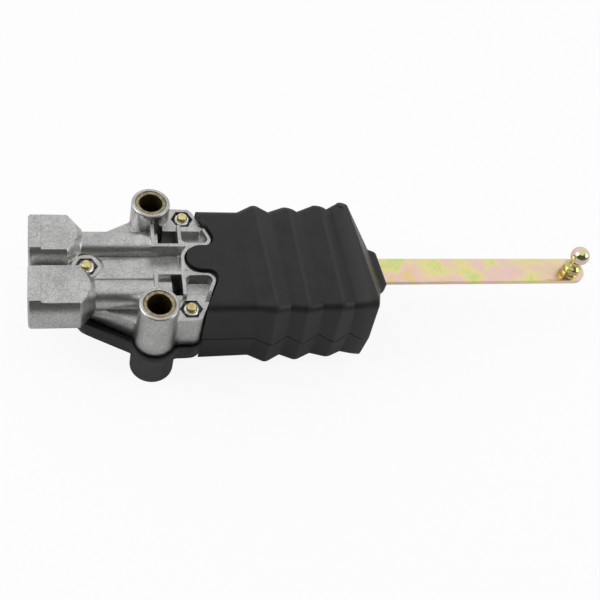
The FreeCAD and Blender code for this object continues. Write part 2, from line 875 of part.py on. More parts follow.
def boot():
    plan = lever_side_outline(boot_gap, boot_half_width + 2 * pleat_height, snout_end_x + overrun)
    region = slab(plan, boot_bottom_z - 2 * pleat_height, boot_top_z + 3 * pleat_height)
    shell = boot_skin(0).common(region).cut(boot_skin(boot_wall))
    half_slot = lever_width / 2 + snout_lever_gap
    slot = block(snout_root_x - 2 * boot_wall, snout_end_x + overrun, -half_slot, half_slot,
                 lever_bottom_z - snout_lever_gap, lever_top_z + snout_lever_gap)
    return shell.cut(slot)


# Lever, shaft and crank

def lever():
    half = lever_width / 2
    bar = block(pivot_x, lever_end_x, -half, half, lever_bottom_z, lever_top_z)
    ends = [cylinder_z(half, lever_bottom_z, lever_top_z, x, 0) for x in (pivot_x, lever_end_x)]
    plate = fused([bar] + ends)
    rivet_hole = cylinder_z(stud_shank_r, lever_bottom_z, lever_top_z, stud_x, -stud_offset)
    return plate.cut([square_post(lever_bottom_z, lever_top_z), rivet_hole])


def square_post(z0, z1):
    """Square drive on the shaft that the lever sits on."""
    return block(pivot_x - shaft_top_r, pivot_x + shaft_top_r, -shaft_top_r, shaft_top_r, z0, z1)


def ball_stud():
    """Riveted stud: shank, two collars with a groove between, neck and ball."""
    z = lever_top_z
    ball_z = z + ball_height
    step_z = z + stud_collar_height
    top_z = step_z + stud_step_height
    neck_z = ball_z - math.sqrt(ball_r ** 2 - stud_neck_r ** 2)
    profile = Part.makePolygon([
        vec(0, 0, lever_bottom_z - stud_rivet_height),
        vec(stud_rivet_r, 0, lever_bottom_z - stud_rivet_height),
        vec(stud_rivet_r, 0, lever_bottom_z),
        vec(stud_shank_r, 0, lever_bottom_z),
        vec(stud_shank_r, 0, z),
        vec(stud_collar_r, 0, z),
        vec(stud_collar_r, 0, step_z - stud_groove),
        vec(stud_step_r - stud_groove, 0, step_z),
        vec(stud_step_r, 0, step_z + stud_groove),
        vec(stud_step_r, 0, top_z),
        vec(stud_neck_r, 0, top_z + stud_bevel),
        vec(stud_neck_r, 0, neck_z + ball_sink),
        vec(0, 0, neck_z + ball_sink),
        vec(0, 0, lever_bottom_z - stud_rivet_height),
    ])
    stem = Part.Face(profile).revolve(vec(0, 0, 0), Z, 360)
    stem.translate(vec(stud_x, -stud_offset, 0))
    ball = Part.makeSphere(ball_r, vec(stud_x, -stud_offset, ball_z))
    return fused([stem, ball])


def pivot_shaft():
    collar_z = lever_bottom_z - shaft_collar_height
    lower = cylinder_z(shaft_r, plug_top_z + shaft_end_gap, collar_z, pivot_x, 0)
    collar = cylinder_z(shaft_collar_r, collar_z, lever_bottom_z, pivot_x, 0)
    upper = cylinder_z(shaft_top_r, lever_top_z, shaft_top_z, pivot_x, 0)
    return fused([lower, collar, square_post(lever_bottom_z, lever_top_z), upper])


def washer(inner_r, outer_r, z0, z1):
    """Ring round the pivot."""
    hole = cylinder_z(inner_r, z0 - overrun, z1 + overrun, pivot_x, 0)
    return cylinder_z(outer_r, z0, z1, pivot_x, 0).cut(hole)


def lever_lock_ring():
    return washer(shaft_top_r, lock_ring_r, lever_top_z, lever_top_z + lock_ring_height)


def shaft_bearing(inner_r, z_low, z_high, flange_low):
    outer_r = inner_r + bearing_wall
    flange = washer(inner_r, bearing_flange_r, flange_low, flange_low + bearing_flange_height)
    return fused([washer(inner_r, outer_r, z_low, z_high), flange])


def bearing_top():
    inner_r = shaft_top_r + shaft_running_gap
    flange_z = top_bearing_z - bearing_flange_height
    return shaft_bearing(inner_r, flange_z, shaft_top_z + bearing_end_play, flange_z)


def bearing_bottom():
    inner_r = shaft_r + shaft_running_gap
    top = bottom_bearing_top_z + bearing_flange_height
    return shaft_bearing(inner_r, plug_top_z, top, bottom_bearing_top_z)


def shaft_plug():
    r = shaft_r + shaft_running_gap + bearing_wall
    return cylinder_z(r, frame_bottom_z, plug_top_z, pivot_x, 0)


def crank_disc():
    disc = washer(shaft_r, crank_disc_r, crank_disc_z, crank_disc_z + crank_disc_height)
    pin_hole = cylinder_z(crank_pin_r, crank_disc_z - overrun, crank_pin_top_z, pivot_x, crank_offset)
    return disc.cut(pin_hole)


def crank_pin():
    return cylinder_z(crank_pin_r, crank_disc_z, crank_pin_top_z, pivot_x, crank_offset)


def return_spring():
    low = bottom_bearing_top_z + bearing_flange_height + return_spring_gap
    spring = coil(return_spring_mean_r, return_spring_wire_r, low, crank_disc_z, return_spring_turns)
    spring.translate(vec(pivot_x, 0, 0))
    return spring


# Spool valve

def waist_cutter(centre_x):
    r = spool_r + overrun
    outer = cylinder_x(r, centre_x - waist_length / 2, centre_x + waist_length / 2, 0, spool_z)
    core = cylinder_x(spool_waist_r, centre_x - waist_length, centre_x + waist_length, 0, spool_z)
    return outer.cut(core)


def spool_seal_places():
    land_1 = (spool_start_x + supply_x - waist_length / 2) / 2
    land_2 = (supply_x + delivery_x) / 2
    land_3 = (delivery_x + waist_length / 2 + spool_land_end_x) / 2
    return [land_1, land_2, land_3]


def seal_mean_r():
    return spool_r + spool_running_gap / 2 - seal_wire_r


def seal_groove(x):
    start_x = x - seal_groove_half
    end_x = x + seal_groove_half
    bottom_r = seal_mean_r() - seal_wire_r
    outer = cylinder_x(spool_r + overrun, start_x, end_x, 0, spool_z)
    return outer.cut(cylinder_x(bottom_r, start_x - overrun, end_x + overrun, 0, spool_z))


def crosshead():
    """Flat head of the spool with a slot for the crank pin."""
    low_z = crosshead_low_z
    slot_half = crank_pin_r + spool_head_gap
    left_x = pivot_x - slot_half - head_cheek
    right_x = pivot_x + slot_half + head_cheek
    near_y = crank_offset - crank_pin_r - head_mouth_run
    far_y = crank_offset + crank_pin_r + head_tip
    web_x = left_x - head_arm
    corners = [
        (spool_head_x, -spool_stem_r - head_flank, head_root_r),
        (web_x, -spool_stem_r - head_flank, head_arm_r),
        (web_x, near_y - head_step, head_mouth_r),
        (left_x, near_y, head_mouth_r),
        (right_x, near_y, head_mouth_r),
        (right_x, far_y, head_corner_r),
        (left_x, far_y, head_corner_r),
        (spool_head_x + head_shoulder_x, spool_stem_r + head_shoulder_y, head_corner_r),
        (spool_head_x, spool_stem_r + head_flank, head_root_r),
    ]
    plate = slab(corners, low_z, low_z + spool_head_height)
    slot_end = crank_offset + crank_pin_r + head_slot_run
    slot = block(pivot_x - slot_half, pivot_x + slot_half, near_y - overrun, slot_end,
                 low_z - overrun, low_z + spool_head_height + overrun)
    return plate.cut(slot)


def valve_spool():
    rod = cylinder_x(spool_r, spool_start_x, spool_land_end_x, 0, spool_z)
    cutters = [waist_cutter(supply_x), waist_cutter(delivery_x)]
    cutters += [seal_groove(x) for x in spool_seal_places()]
    rod = rod.cut(cutters)
    stem = cylinder_x(spool_stem_r, spool_land_end_x, spool_head_x + overrun, 0, spool_z)
    spool = fused([rod, stem, crosshead()])
    vent = cylinder_x(spool_vent_r, spool_start_x - overrun, spool_head_x - spool_vent_stop, 0, spool_z)
    return spool.cut(vent)


def spool_seals():
    rings = [ring_x(x, seal_mean_r(), seal_wire_r, 0, spool_z) for x in spool_seal_places()]
    return Part.makeCompound(rings)


def sleeve_seal_places():
    stops = [sleeve_start_x, supply_x, delivery_x, sleeve_end_x]
    return [(stops[i] + stops[i + 1]) / 2 for i in range(len(stops) - 1)]


def valve_sleeve():
    """Brass liner with ring grooves outside and air holes over the waists."""
    inner_r = spool_r + spool_running_gap
    tube = cylinder_x(sleeve_outer_r, sleeve_start_x, sleeve_end_x, 0, spool_z)
    tube = tube.cut(cylinder_x(inner_r, sleeve_start_x - overrun, sleeve_end_x + overrun, 0, spool_z))
    cutters = []
    for x in sleeve_seal_places():
        start_x = x - seal_groove_half
        end_x = x + seal_groove_half
        outer = cylinder_x(sleeve_outer_r + overrun, start_x, end_x, 0, spool_z)
        floor_r = sleeve_outer_r - 2 * seal_wire_r
        cutters.append(outer.cut(cylinder_x(floor_r, start_x - overrun, end_x + overrun, 0, spool_z)))
    reach = sleeve_outer_r + overrun
    for x in (supply_x, delivery_x):
        cutters.append(Part.makeCylinder(sleeve_hole_r, 2 * reach, vec(x, -reach, spool_z), Y))
        cutters.append(cylinder_z(sleeve_hole_r, spool_z - reach, spool_z + reach, x, 0))
    return tube.cut(cutters)


def sleeve_seals():
    mean_r = sleeve_outer_r - seal_wire_r
    rings = [ring_x(x, mean_r, seal_wire_r, 0, spool_z) for x in sleeve_seal_places()]
    return Part.makeCompound(rings)


def sleeve_circlip():
    """Open ring that holds the sleeve in its bore."""
    outer = cylinder_x(sleeve_outer_r + circlip_depth, sleeve_end_x, sleeve_end_x + circlip_width,
                       0, spool_z)
    inner_r = spool_r + spool_running_gap + circlip_step
    start_x = sleeve_end_x - overrun
    end_x = sleeve_end_x + circlip_width + overrun
    ring = outer.cut(cylinder_x(inner_r, start_x, end_x, 0, spool_z))
    gap = block(start_x, end_x, -circlip_gap / 2, circlip_gap / 2,
                spool_z, spool_z + 2 * sleeve_outer_r)
    return ring.cut(gap)


# Parts in the air ways

def port_strainer(side):
    """Sintered filter disc at the bottom of a port."""
    disc = cylinder_x(strainer_r, port_floor_x, strainer_end_x, side * port_y, port_z)
    dish = cylinder_x(strainer_dish_r, port_floor_x - overrun, port_floor_x + strainer_length / 2,
                      side * port_y, port_z)
    return disc.cut(dish)


def check_poppet():
    """Mushroom valve that closes against the throat."""
    seat_x = strainer_end_x + throat_length + check_seat_gap
    nose_r = throat_r - check_nose_gap
    nose = cone_x(nose_r - check_nose_taper, nose_r, seat_x - check_nose_length, seat_x, tube_y, port_z)
    head = cylinder_x(check_head_r, seat_x, seat_x + check_head_length, tube_y, port_z)
    stem = cylinder_x(check_stem_r, seat_x + check_head_length, check_stem_end_x, tube_y, port_z)
    return fused([nose, head, stem])


def check_guide():
    """Pressed-in guide with air slots, which the spring rests on."""
    end_x = check_guide_start_x + check_guide_length
    disc = cylinder_x(check_chamber_r, check_guide_start_x, end_x, tube_y, port_z)
    hole = cylinder_x(check_stem_r + check_guide_gap, check_guide_start_x - overrun, end_x + overrun,
                      tube_y, port_z)
    cutters = [hole]
    for side in (-1, 1):
        z = port_z + side * check_chamber_r
        cutters.append(block(check_guide_start_x - overrun, end_x + overrun,
                             tube_y - guide_slot_half, tube_y + guide_slot_half,
                             z - guide_slot_depth, z + guide_slot_depth))
    return disc.cut(cutters)


def check_spring():
    head_end_x = strainer_end_x + throat_length + check_seat_gap + check_head_length
    spring = coil(check_spring_mean_r, check_spring_wire_r, 0, check_guide_start_x - head_end_x,
                  check_spring_turns)
    spring.rotate(vec(0, 0, 0), Y, 90)
    spring.translate(vec(head_end_x, tube_y, port_z))
    return spring


def delivery_choke():
    """Jet that slows the air to the springs."""
    y = -tube_y
    jet = cylinder_x(air_bore_r, choke_x, choke_x + choke_length, y, port_z)
    hole = cylinder_x(choke_hole_r, choke_x - overrun, choke_x + choke_length + overrun, y, port_z)
    return jet.cut(hole)


nodes = {
    "valve_body": valve_body,
    "lower_cover": lower_cover,
    "cover_gasket": cover_gasket,
    "mount_bush_front": lambda: mount_bush(-1),
    "mount_bush_back": lambda: mount_bush(1),
    "cover_screws": lambda: Part.makeCompound([cover_screw(*f) for f in fixings]),
    "cover_nuts": lambda: Part.makeCompound([cover_nut(*f) for f in fixings]),
    "boot": boot,
    "lever": lever,
    "ball_stud": ball_stud,
    "pivot_shaft": pivot_shaft,
    "lever_lock_ring": lever_lock_ring,
    "bearing_top": bearing_top,
    "bearing_bottom": bearing_bottom,
    "shaft_plug": shaft_plug,
    "crank_disc": crank_disc,
    "crank_pin": crank_pin,
    "return_spring": return_spring,
    "valve_spool": valve_spool,
    "spool_seals": spool_seals,
    "valve_sleeve": valve_sleeve,
    "sleeve_seals": sleeve_seals,
    "sleeve_circlip": sleeve_circlip,
    "supply_strainer": lambda: port_strainer(1),
    "delivery_strainer": lambda: port_strainer(-1),
    "check_poppet": check_poppet,
    "check_spring": check_spring,
    "check_guide": check_guide,
    "delivery_choke": delivery_choke,
}

os.makedirs("parts", exist_ok=True)
for name, make in nodes.items():
    shape = make()
    shape.exportStep("parts/" + name + ".step")
    box = shape.BoundBox
    print(name, len(shape.Solids), "valid" if shape.isValid() else "INVALID", round(shape.Volume, 1),
          [round(v, 2) for v in (box.XMin, box.XMax, box.YMin, box.YMax, box.ZMin, box.ZMax)])
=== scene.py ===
import json
import math
from collections import namedtuple

import bmesh
import bpy
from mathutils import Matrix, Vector
from mathutils.bvhtree import BVHTree
from mathutils.geometry import intersect_point_line
from mathutils.kdtree import KDTree

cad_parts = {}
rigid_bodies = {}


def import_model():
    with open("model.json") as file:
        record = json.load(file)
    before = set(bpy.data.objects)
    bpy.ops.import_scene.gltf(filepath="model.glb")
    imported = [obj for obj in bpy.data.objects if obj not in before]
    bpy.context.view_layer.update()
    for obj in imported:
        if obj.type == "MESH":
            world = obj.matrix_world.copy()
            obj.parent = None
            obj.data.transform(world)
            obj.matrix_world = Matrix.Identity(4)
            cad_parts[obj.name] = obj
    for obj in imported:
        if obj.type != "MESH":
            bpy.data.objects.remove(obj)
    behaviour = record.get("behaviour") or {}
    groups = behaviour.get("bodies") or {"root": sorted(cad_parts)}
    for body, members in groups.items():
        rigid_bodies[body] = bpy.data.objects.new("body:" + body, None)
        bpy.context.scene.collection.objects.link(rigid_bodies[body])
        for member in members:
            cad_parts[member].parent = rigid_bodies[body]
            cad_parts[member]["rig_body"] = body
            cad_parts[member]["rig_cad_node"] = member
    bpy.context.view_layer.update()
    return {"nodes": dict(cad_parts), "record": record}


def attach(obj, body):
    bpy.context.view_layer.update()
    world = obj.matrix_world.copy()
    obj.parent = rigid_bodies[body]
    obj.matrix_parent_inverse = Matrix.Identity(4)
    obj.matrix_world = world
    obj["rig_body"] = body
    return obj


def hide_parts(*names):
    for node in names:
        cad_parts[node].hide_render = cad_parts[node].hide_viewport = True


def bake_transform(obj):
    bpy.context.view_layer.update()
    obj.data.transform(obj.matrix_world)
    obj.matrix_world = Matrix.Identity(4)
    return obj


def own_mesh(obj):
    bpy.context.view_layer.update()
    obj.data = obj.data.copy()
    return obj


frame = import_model()

bl_info = {
    "name": "Leveling Valve",
    "version": (1, 0, 0),
    "blender": (4, 5, 0),
    "location": "View3D > Sidebar > Valve",
    "description": "Finished pieces, materials and studio for a leveling valve with a boot",
    "category": "Mesh",
}

MM = 0.001
# Points nearer than this are one point
TOUCH = 0.001 * MM


def linear(text):
    """Linear RGBA of an sRGB hex colour."""
    parts = [int(text[i:i + 2], 16) / 255 for i in (1, 3, 5)]
    return (*(c / 12.92 if c <= 0.04045 else ((c + 0.055) / 1.055) ** 2.4 for c in parts), 1.0)


def length(name, description, millimetres):
    """A length property, given in millimetres."""
    return bpy.props.FloatProperty(name=name, description=description, default=millimetres * MM,
                                   min=0.0, precision=5, unit="LENGTH")


def colour(name, description, text):
    """A colour property, given as an sRGB hex value."""
    return bpy.props.FloatVectorProperty(name=name, description=description, default=linear(text),
                                         size=4, min=0.0, max=1.0, subtype="COLOR")


def number(name, description, value):
    """A plain number as a property."""
    return bpy.props.FloatProperty(name=name, description=description, default=value)


class CastingSettings(bpy.types.PropertyGroup):
    edge_round: length("Edge rounding", "Radius on the edges of the casting", 0.32)
    thread_pitch: length("Thread pitch", "Pitch of the thread in the ports", 1.5)
    thread_depth: length("Thread depth", "Depth of the thread below the bore", 0.8)
    thread_length: length("Thread length", "Length of the thread in the ports", 11.0)
    metal: colour("Aluminium", "Colour of the die-cast aluminium", "#B4B4B2")
    bright: colour("Aluminium, bright", "Grey of the brightest grains", "#C8C8C6")
    dark: colour("Aluminium, dark", "Grey of the pits", "#9A9A99")
    mark: colour("Flow marks", "Tint of the flow marks", "#8C8C8B")


class CoverSettings(bpy.types.PropertyGroup):
    edge_round: length("Edge rounding", "Radius on the edges of the moulding", 0.32)
    plastic: colour("Plastic", "Colour of the moulded cover", "#161616")


class FixingSettings(bpy.types.PropertyGroup):
    edge_round: length("Edge rounding", "Radius on the edges of nuts and bushes", 0.25)
    thread_pitch: length("Thread pitch", "Pitch of the cover screws", 0.7)
    thread_depth: length("Thread depth", "Depth of the screws' thread", 0.25)
    collar_share: number("Collar share", "Width of the nuts' collars as a share of the CAD's", 0.9)
    zinc: colour("Zinc", "Colour of the white zinc nuts", "#F0F0EC")
    yellow: colour("Yellow zinc", "Colour of the passivated screws", "#D9CC98")
    bush: colour("Bush", "Colour of the pressed-in steel bushes", "#A3977A")


class BootSettings(bpy.types.PropertyGroup):
    corner_radius: length("Corner radius", "Radius of the long corners", 3.5)
    wall: length("Wall", "Thickness of the rubber", 1.8)
    lean_top: length("Lean, top", "How far the pleats lean back above the mould line", 1.7)
    lean_bottom: length("Lean, bottom", "How far the pleats lean back below the mould line", 0.6)
    mould_line: length("Mould line", "Height of the line that the mould leaves", 17.6)
    mould_groove: length("Mould groove", "Width and depth of the line that the mould leaves", 0.4)
    gap: length("Gap", "Gap between the boot and the casting", 0.65)
    rubber: colour("Rubber", "Colour of the boot", "#131313")
    dust: colour("Dust", "Colour of the dull bloom on the rubber", "#242423")
    # Paler grey of the crests: partly real rubbing wear, partly a painted highlight along the
    # crests
    rubbed: colour("Rubbed", "Colour of the rubber where the folds bend", "#2B2B2A")


class LeverSettings(bpy.types.PropertyGroup):
    edge_round: length("Edge rounding", "Radius on the lever's edges", 0.3)
    yellow: colour("Yellow", "Main tint of the passivated plating", "#E4DA94")
    pink: colour("Pink", "Second tint of the passivated plating", "#E9C1C8")
    green: colour("Green", "Third tint of the passivated plating", "#C9D68C")
    tan: colour("Tan", "Fourth tint of the passivated plating", "#E6CB96")
    brass: colour("Stud", "Tint of the stud's shank and collars", "#B4A068")
    ball_pale: colour("Ball, pale", "Main tint of the ball", "#E0C8BC")
    ball_low: length("Ball's foot", "Height at which the ball begins", 37.6)


class StudioSettings(bpy.types.PropertyGroup):
    floor: colour("Floor", "Colour of the floor", "#F2F2F2")
    sky: number("Sky", "Strength of the even light from all round", 0.78)
    key: number("Key light", "Power of the softbox on the left, in watts", 4.5)
    fill: number("Fill light", "Power of the softbox on the right, in watts", 2.5)
    lens: number("Lens", "Focal length in millimetres on a 36 mm wide sensor", 55.9)
    camera_place: bpy.props.FloatVectorProperty(
        name="Camera", description="Place of the camera", subtype="TRANSLATION",
        default=(-0.03679, -0.21883, 0.32059))
    camera_turn: bpy.props.FloatVectorProperty(
        name="Camera turn", description="Rotation of the camera", subtype="EULER",
        default=(math.radians(36.071), math.radians(-11.644), math.radians(-9.127)))


# Mesh helpers

# Edges are rounded where their faces turn by more than the angle, over this share of the room
EDGE_ANGLE = math.radians(25)
ROOM_SHARE = 0.4
# Triangles below this area don't show, and a rounded face stays this near to the first skin
LEAST_AREA = 0.002 * MM * MM
FAR_OFF = 0.4 * MM


def select_only(obj):
    """Makes the object the only selected one and the active one."""
    bpy.ops.object.select_all(action="DESELECT")
    obj.hide_viewport = False
    obj.select_set(True)
    bpy.context.view_layer.objects.active = obj


def pick(obj, verts=None, edges=None, faces=None):
    """Selects, in edit mode, what passes the test, by place or normal."""
    mesh = bmesh.from_edit_mesh(obj.data)
    bpy.ops.mesh.select_all(action="DESELECT")
    chosen = mesh.verts if verts else mesh.edges if edges else mesh.faces
    test = verts or edges or faces
    mode = "VERT" if verts else "EDGE" if edges else "FACE"
    bpy.ops.mesh.select_mode(type=mode)
    for item in chosen:
        item.select_set(test(item))
    mesh.select_flush(True)
    bmesh.update_edit_mesh(obj.data)


def take(obj, kind, **settings):
    """Adds a modifier with its settings and applies it."""
    select_only(obj)
    modifier = obj.modifiers.new(kind.lower(), kind)
    for name, value in settings.items():
        setattr(modifier, name, value)
    bpy.ops.object.modifier_apply(modifier=modifier.name)


def round_edges(obj, radius, segments=2):
    """Rounds the edges by the full radius, or by what the smallest face allows."""
    take(obj, "BEVEL", width=radius, segments=segments, limit_method="ANGLE",
         angle_limit=EDGE_ANGLE, use_clamp_overlap=True, miter_outer="MITER_SHARP")


def edge_room(edge, limit):
    """Distance from an edge to the nearest edge across its two faces, at most the limit."""
    middle = (edge.verts[0].co + edge.verts[1].co) / 2
    room = limit
    for loop in edge.link_loops:
        along = loop.link_loop_next.vert.co - loop.vert.co
        inward = loop.face.normal.cross(along).normalized()
        for other in loop.face.edges:
            a, b = (v.co for v in other.verts)
            if edge.verts[0] in other.verts or edge.verts[1] in other.verts:
                continue
            _, share = intersect_point_line(middle, a, b)
            spot = a.lerp(b, min(1.0, max(0.0, share)))
            distance = (spot - middle).length
            if distance < room and (spot - middle).dot(inward) > 0.5 * distance:
                room = distance
    return room


def turned_over(data, skin, corners):
    """Corners of the first mesh at which the rounding has turned a triangle over."""
    data.calc_loop_triangles()
    sources = data.attributes["source"].data
    wrong = set()
    for triangle in data.loop_triangles:
        a, b, c = (data.vertices[i].co for i in triangle.vertices)
        normal = (b - a).cross(c - a)
        if normal.length / 2 < LEAST_AREA:
            continue
        normal.normalize()
        _, skin_normal, _, distance = skin.find_nearest((a + b + c) / 3)
        face = data.polygons[triangle.polygon_index]
        against = normal.dot(skin_normal) < -0.2 or normal.dot(face.normal) < 0.2
        if against or distance > FAR_OFF:
            wrong.update(corners.find(sources[i].vector)[1] for i in triangle.vertices)
    return wrong


def round_all_edges(obj, radius, segments=2, tries=8):
    """Rounds each edge by the radius, or by less where the next edge is near.

    Where that turns a face over, the edges of the corner stay sharp in the next try."""
    first = obj.data.copy()
    corners = KDTree(len(first.vertices))
    for vertex in first.vertices:
        corners.insert(vertex.co, vertex.index)
    corners.balance()
    kept = set()
    for _ in range(tries):
        mesh = bmesh.new()
        mesh.from_mesh(first)
        mesh.normal_update()
        skin = BVHTree.FromBMesh(mesh)
        weight = mesh.edges.layers.float.new("bevel_weight_edge")
        source = mesh.verts.layers.float_vector.new("source")
        for edge in mesh.edges:
            free = not any(vertex.index in kept for vertex in edge.verts)
            if free and edge.calc_face_angle(0.0) > EDGE_ANGLE:
                edge[weight] = ROOM_SHARE * edge_room(edge, radius / ROOM_SHARE) / radius
        for vertex in mesh.verts:
            vertex[source] = vertex.co
        mesh.to_mesh(obj.data)
        mesh.free()
        take(obj, "BEVEL", width=radius, segments=segments, limit_method="WEIGHT", loop_slide=False,
             use_clamp_overlap=False, miter_outer="MITER_SHARP")
        wrong = turned_over(obj.data, skin, corners) - kept
        if not wrong:
            break
        kept |= wrong
    obj.data.attributes.remove(obj.data.attributes["source"])


def merged_copy(node, name):
    """A copy of a CAD node with its loose triangles merged into whole faces."""
    obj = frame["nodes"][node].copy()
    obj.data = obj.data.copy()
    obj.parent = None
    obj.name = name
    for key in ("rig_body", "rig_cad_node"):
        if key in obj:
            del obj[key]
    bpy.context.scene.collection.objects.link(obj)
    select_only(obj)
    bpy.ops.object.mode_set(mode="EDIT")
    bpy.ops.mesh.select_all(action="SELECT")
    bpy.ops.mesh.remove_doubles(threshold=TOUCH)
    bpy.ops.mesh.dissolve_limited(angle_limit=math.radians(0.05), delimit=set())
    bpy.ops.object.mode_set(mode="OBJECT")
    bpy.ops.mesh.customdata_custom_splitnormals_clear()
    return obj


def smooth(obj, angle=30.0):
    """Shades the faces smooth across edges below the angle."""
    select_only(obj)
    bpy.ops.object.shade_smooth_by_angle(angle=math.radians(angle))


def dress(obj, body, slot, material, *nodes):
    """Rides the piece on its body, gives it a finish and hides the CAD nodes that it stands for."""
    obj.data.materials.clear()
    obj.data.materials.append(material)
    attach(obj, body)
    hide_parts(*nodes)


def chain(name, points):
    """An object with an open chain of edges, drawn by extruding one vertex from point to point."""
    bpy.ops.object.select_all(action="DESELECT")
    bpy.ops.mesh.primitive_plane_add(size=MM, location=(0, 0, 0))
    obj = bpy.context.object
    obj.name = name
    bpy.ops.object.mode_set(mode="EDIT")
    bpy.ops.mesh.select_mode(type="VERT")
    bpy.ops.mesh.select_all(action="SELECT")
    bpy.ops.mesh.merge(type="CENTER")
    bpy.ops.transform.translate(value=points[0])
    for here, there in zip(points, points[1:]):
        step = Vector(there) - Vector(here)
        bpy.ops.mesh.extrude_vertices_move(TRANSFORM_OT_translate={"value": step})
    return obj


def cut_thread(obj, start, axis, surface_r, depth, pitch, turns):
    """Cuts a helical V groove; a negative depth cuts it into the outside of a pin."""
    start, axis = Vector(start), Vector(axis)
    out = axis.orthogonal().normalized()
    clear = -math.copysign(0.15 * MM, depth)
    half = 0.44 * pitch
    profile = [start + out * (surface_r + clear) - axis * half, start + out * (surface_r + depth),
               start + out * (surface_r + clear) + axis * half]
    tool = chain("thread_tool", profile)
    bpy.ops.mesh.select_all(action="SELECT")
    bpy.ops.mesh.edge_face_add()
    bpy.ops.mesh.delete(type="ONLY_FACE")
    bpy.ops.object.mode_set(mode="OBJECT")
    marker = bpy.data.objects.new("thread_axis", None)
    bpy.context.scene.collection.objects.link(marker)
    marker.location = start
    marker.rotation_euler = axis.to_track_quat("Z", "Y").to_euler()
    bpy.context.view_layer.update()
    take(tool, "SCREW", object=marker, axis="Z", angle=2 * math.pi, screw_offset=pitch,
         iterations=turns, steps=36, render_steps=36, use_merge_vertices=False)
    bpy.data.objects.remove(marker)
    bpy.ops.object.mode_set(mode="EDIT")
    bpy.ops.mesh.select_all(action="SELECT")
    bpy.ops.mesh.remove_doubles(threshold=TOUCH)
    bpy.ops.mesh.fill_holes(sides=3)
    bpy.ops.mesh.select_all(action="SELECT")
    bpy.ops.mesh.normals_make_consistent(inside=False)
    bpy.ops.object.mode_set(mode="OBJECT")
    take(obj, "BOOLEAN", operation="DIFFERENCE", solver="EXACT", object=tool)
    bpy.data.objects.remove(tool)


def plate(name, corners, low, high, segments=10):
    """A flat plate from corners (x, y, run), where run is how far its corner is cut back."""
    obj = chain(name, [Vector((x, y, low)) for x, y, _ in corners])
    pick(obj, verts=lambda v: len(v.link_edges) == 1)
    bpy.ops.mesh.edge_face_add()
    bpy.ops.mesh.select_all(action="SELECT")
    bpy.ops.mesh.edge_face_add()
    for x, y, run in corners:
        if run > 0:
            place = Vector((x, y, low))
            pick(obj, verts=lambda v: (v.co - place).length < 0.01 * MM)
            bpy.ops.mesh.bevel(offset=run, offset_type="OFFSET", segments=segments, profile=0.5,
                               affect="VERTICES")
    bpy.ops.mesh.select_all(action="SELECT")
    bpy.ops.mesh.extrude_region_move(TRANSFORM_OT_translate={"value": (0, 0, high - low)})
    bpy.ops.mesh.select_all(action="SELECT")
    bpy.ops.mesh.normals_make_consistent(inside=False)
    bpy.ops.object.mode_set(mode="OBJECT")
    return obj


# Materials

def new_material(name):
    """A material with its tree and its shader."""
    material = bpy.data.materials.new(name)
    material.use_nodes = True
    tree = material.node_tree
    return material, tree, tree.nodes["Principled BSDF"]


def add(tree, kind, settings=None, inputs=None, stops=()):
    """Adds a node; an input is a value or a pair of node and output; stops are a ramp's colours."""
    node = tree.nodes.new(kind)
    for name, value in (settings or {}).items():
        setattr(node, name, value)
    for name, value in (inputs or {}).items():
        socket = node.inputs[name]
        if isinstance(value, tuple) and isinstance(value[0], bpy.types.Node):
            tree.links.new(value[0].outputs[value[1]], socket)
        else:
            socket.default_value = value
    for index, (position, tint) in enumerate(stops):
        elements = node.color_ramp.elements
        element = elements[index] if index < 2 else elements.new(1.0)
        element.position = position
        element.color = tint
    return node


def join(tree, node, output, shader, socket):
    """Links an output to a socket of the shader."""
    tree.links.new(node.outputs[output], shader.inputs[socket])


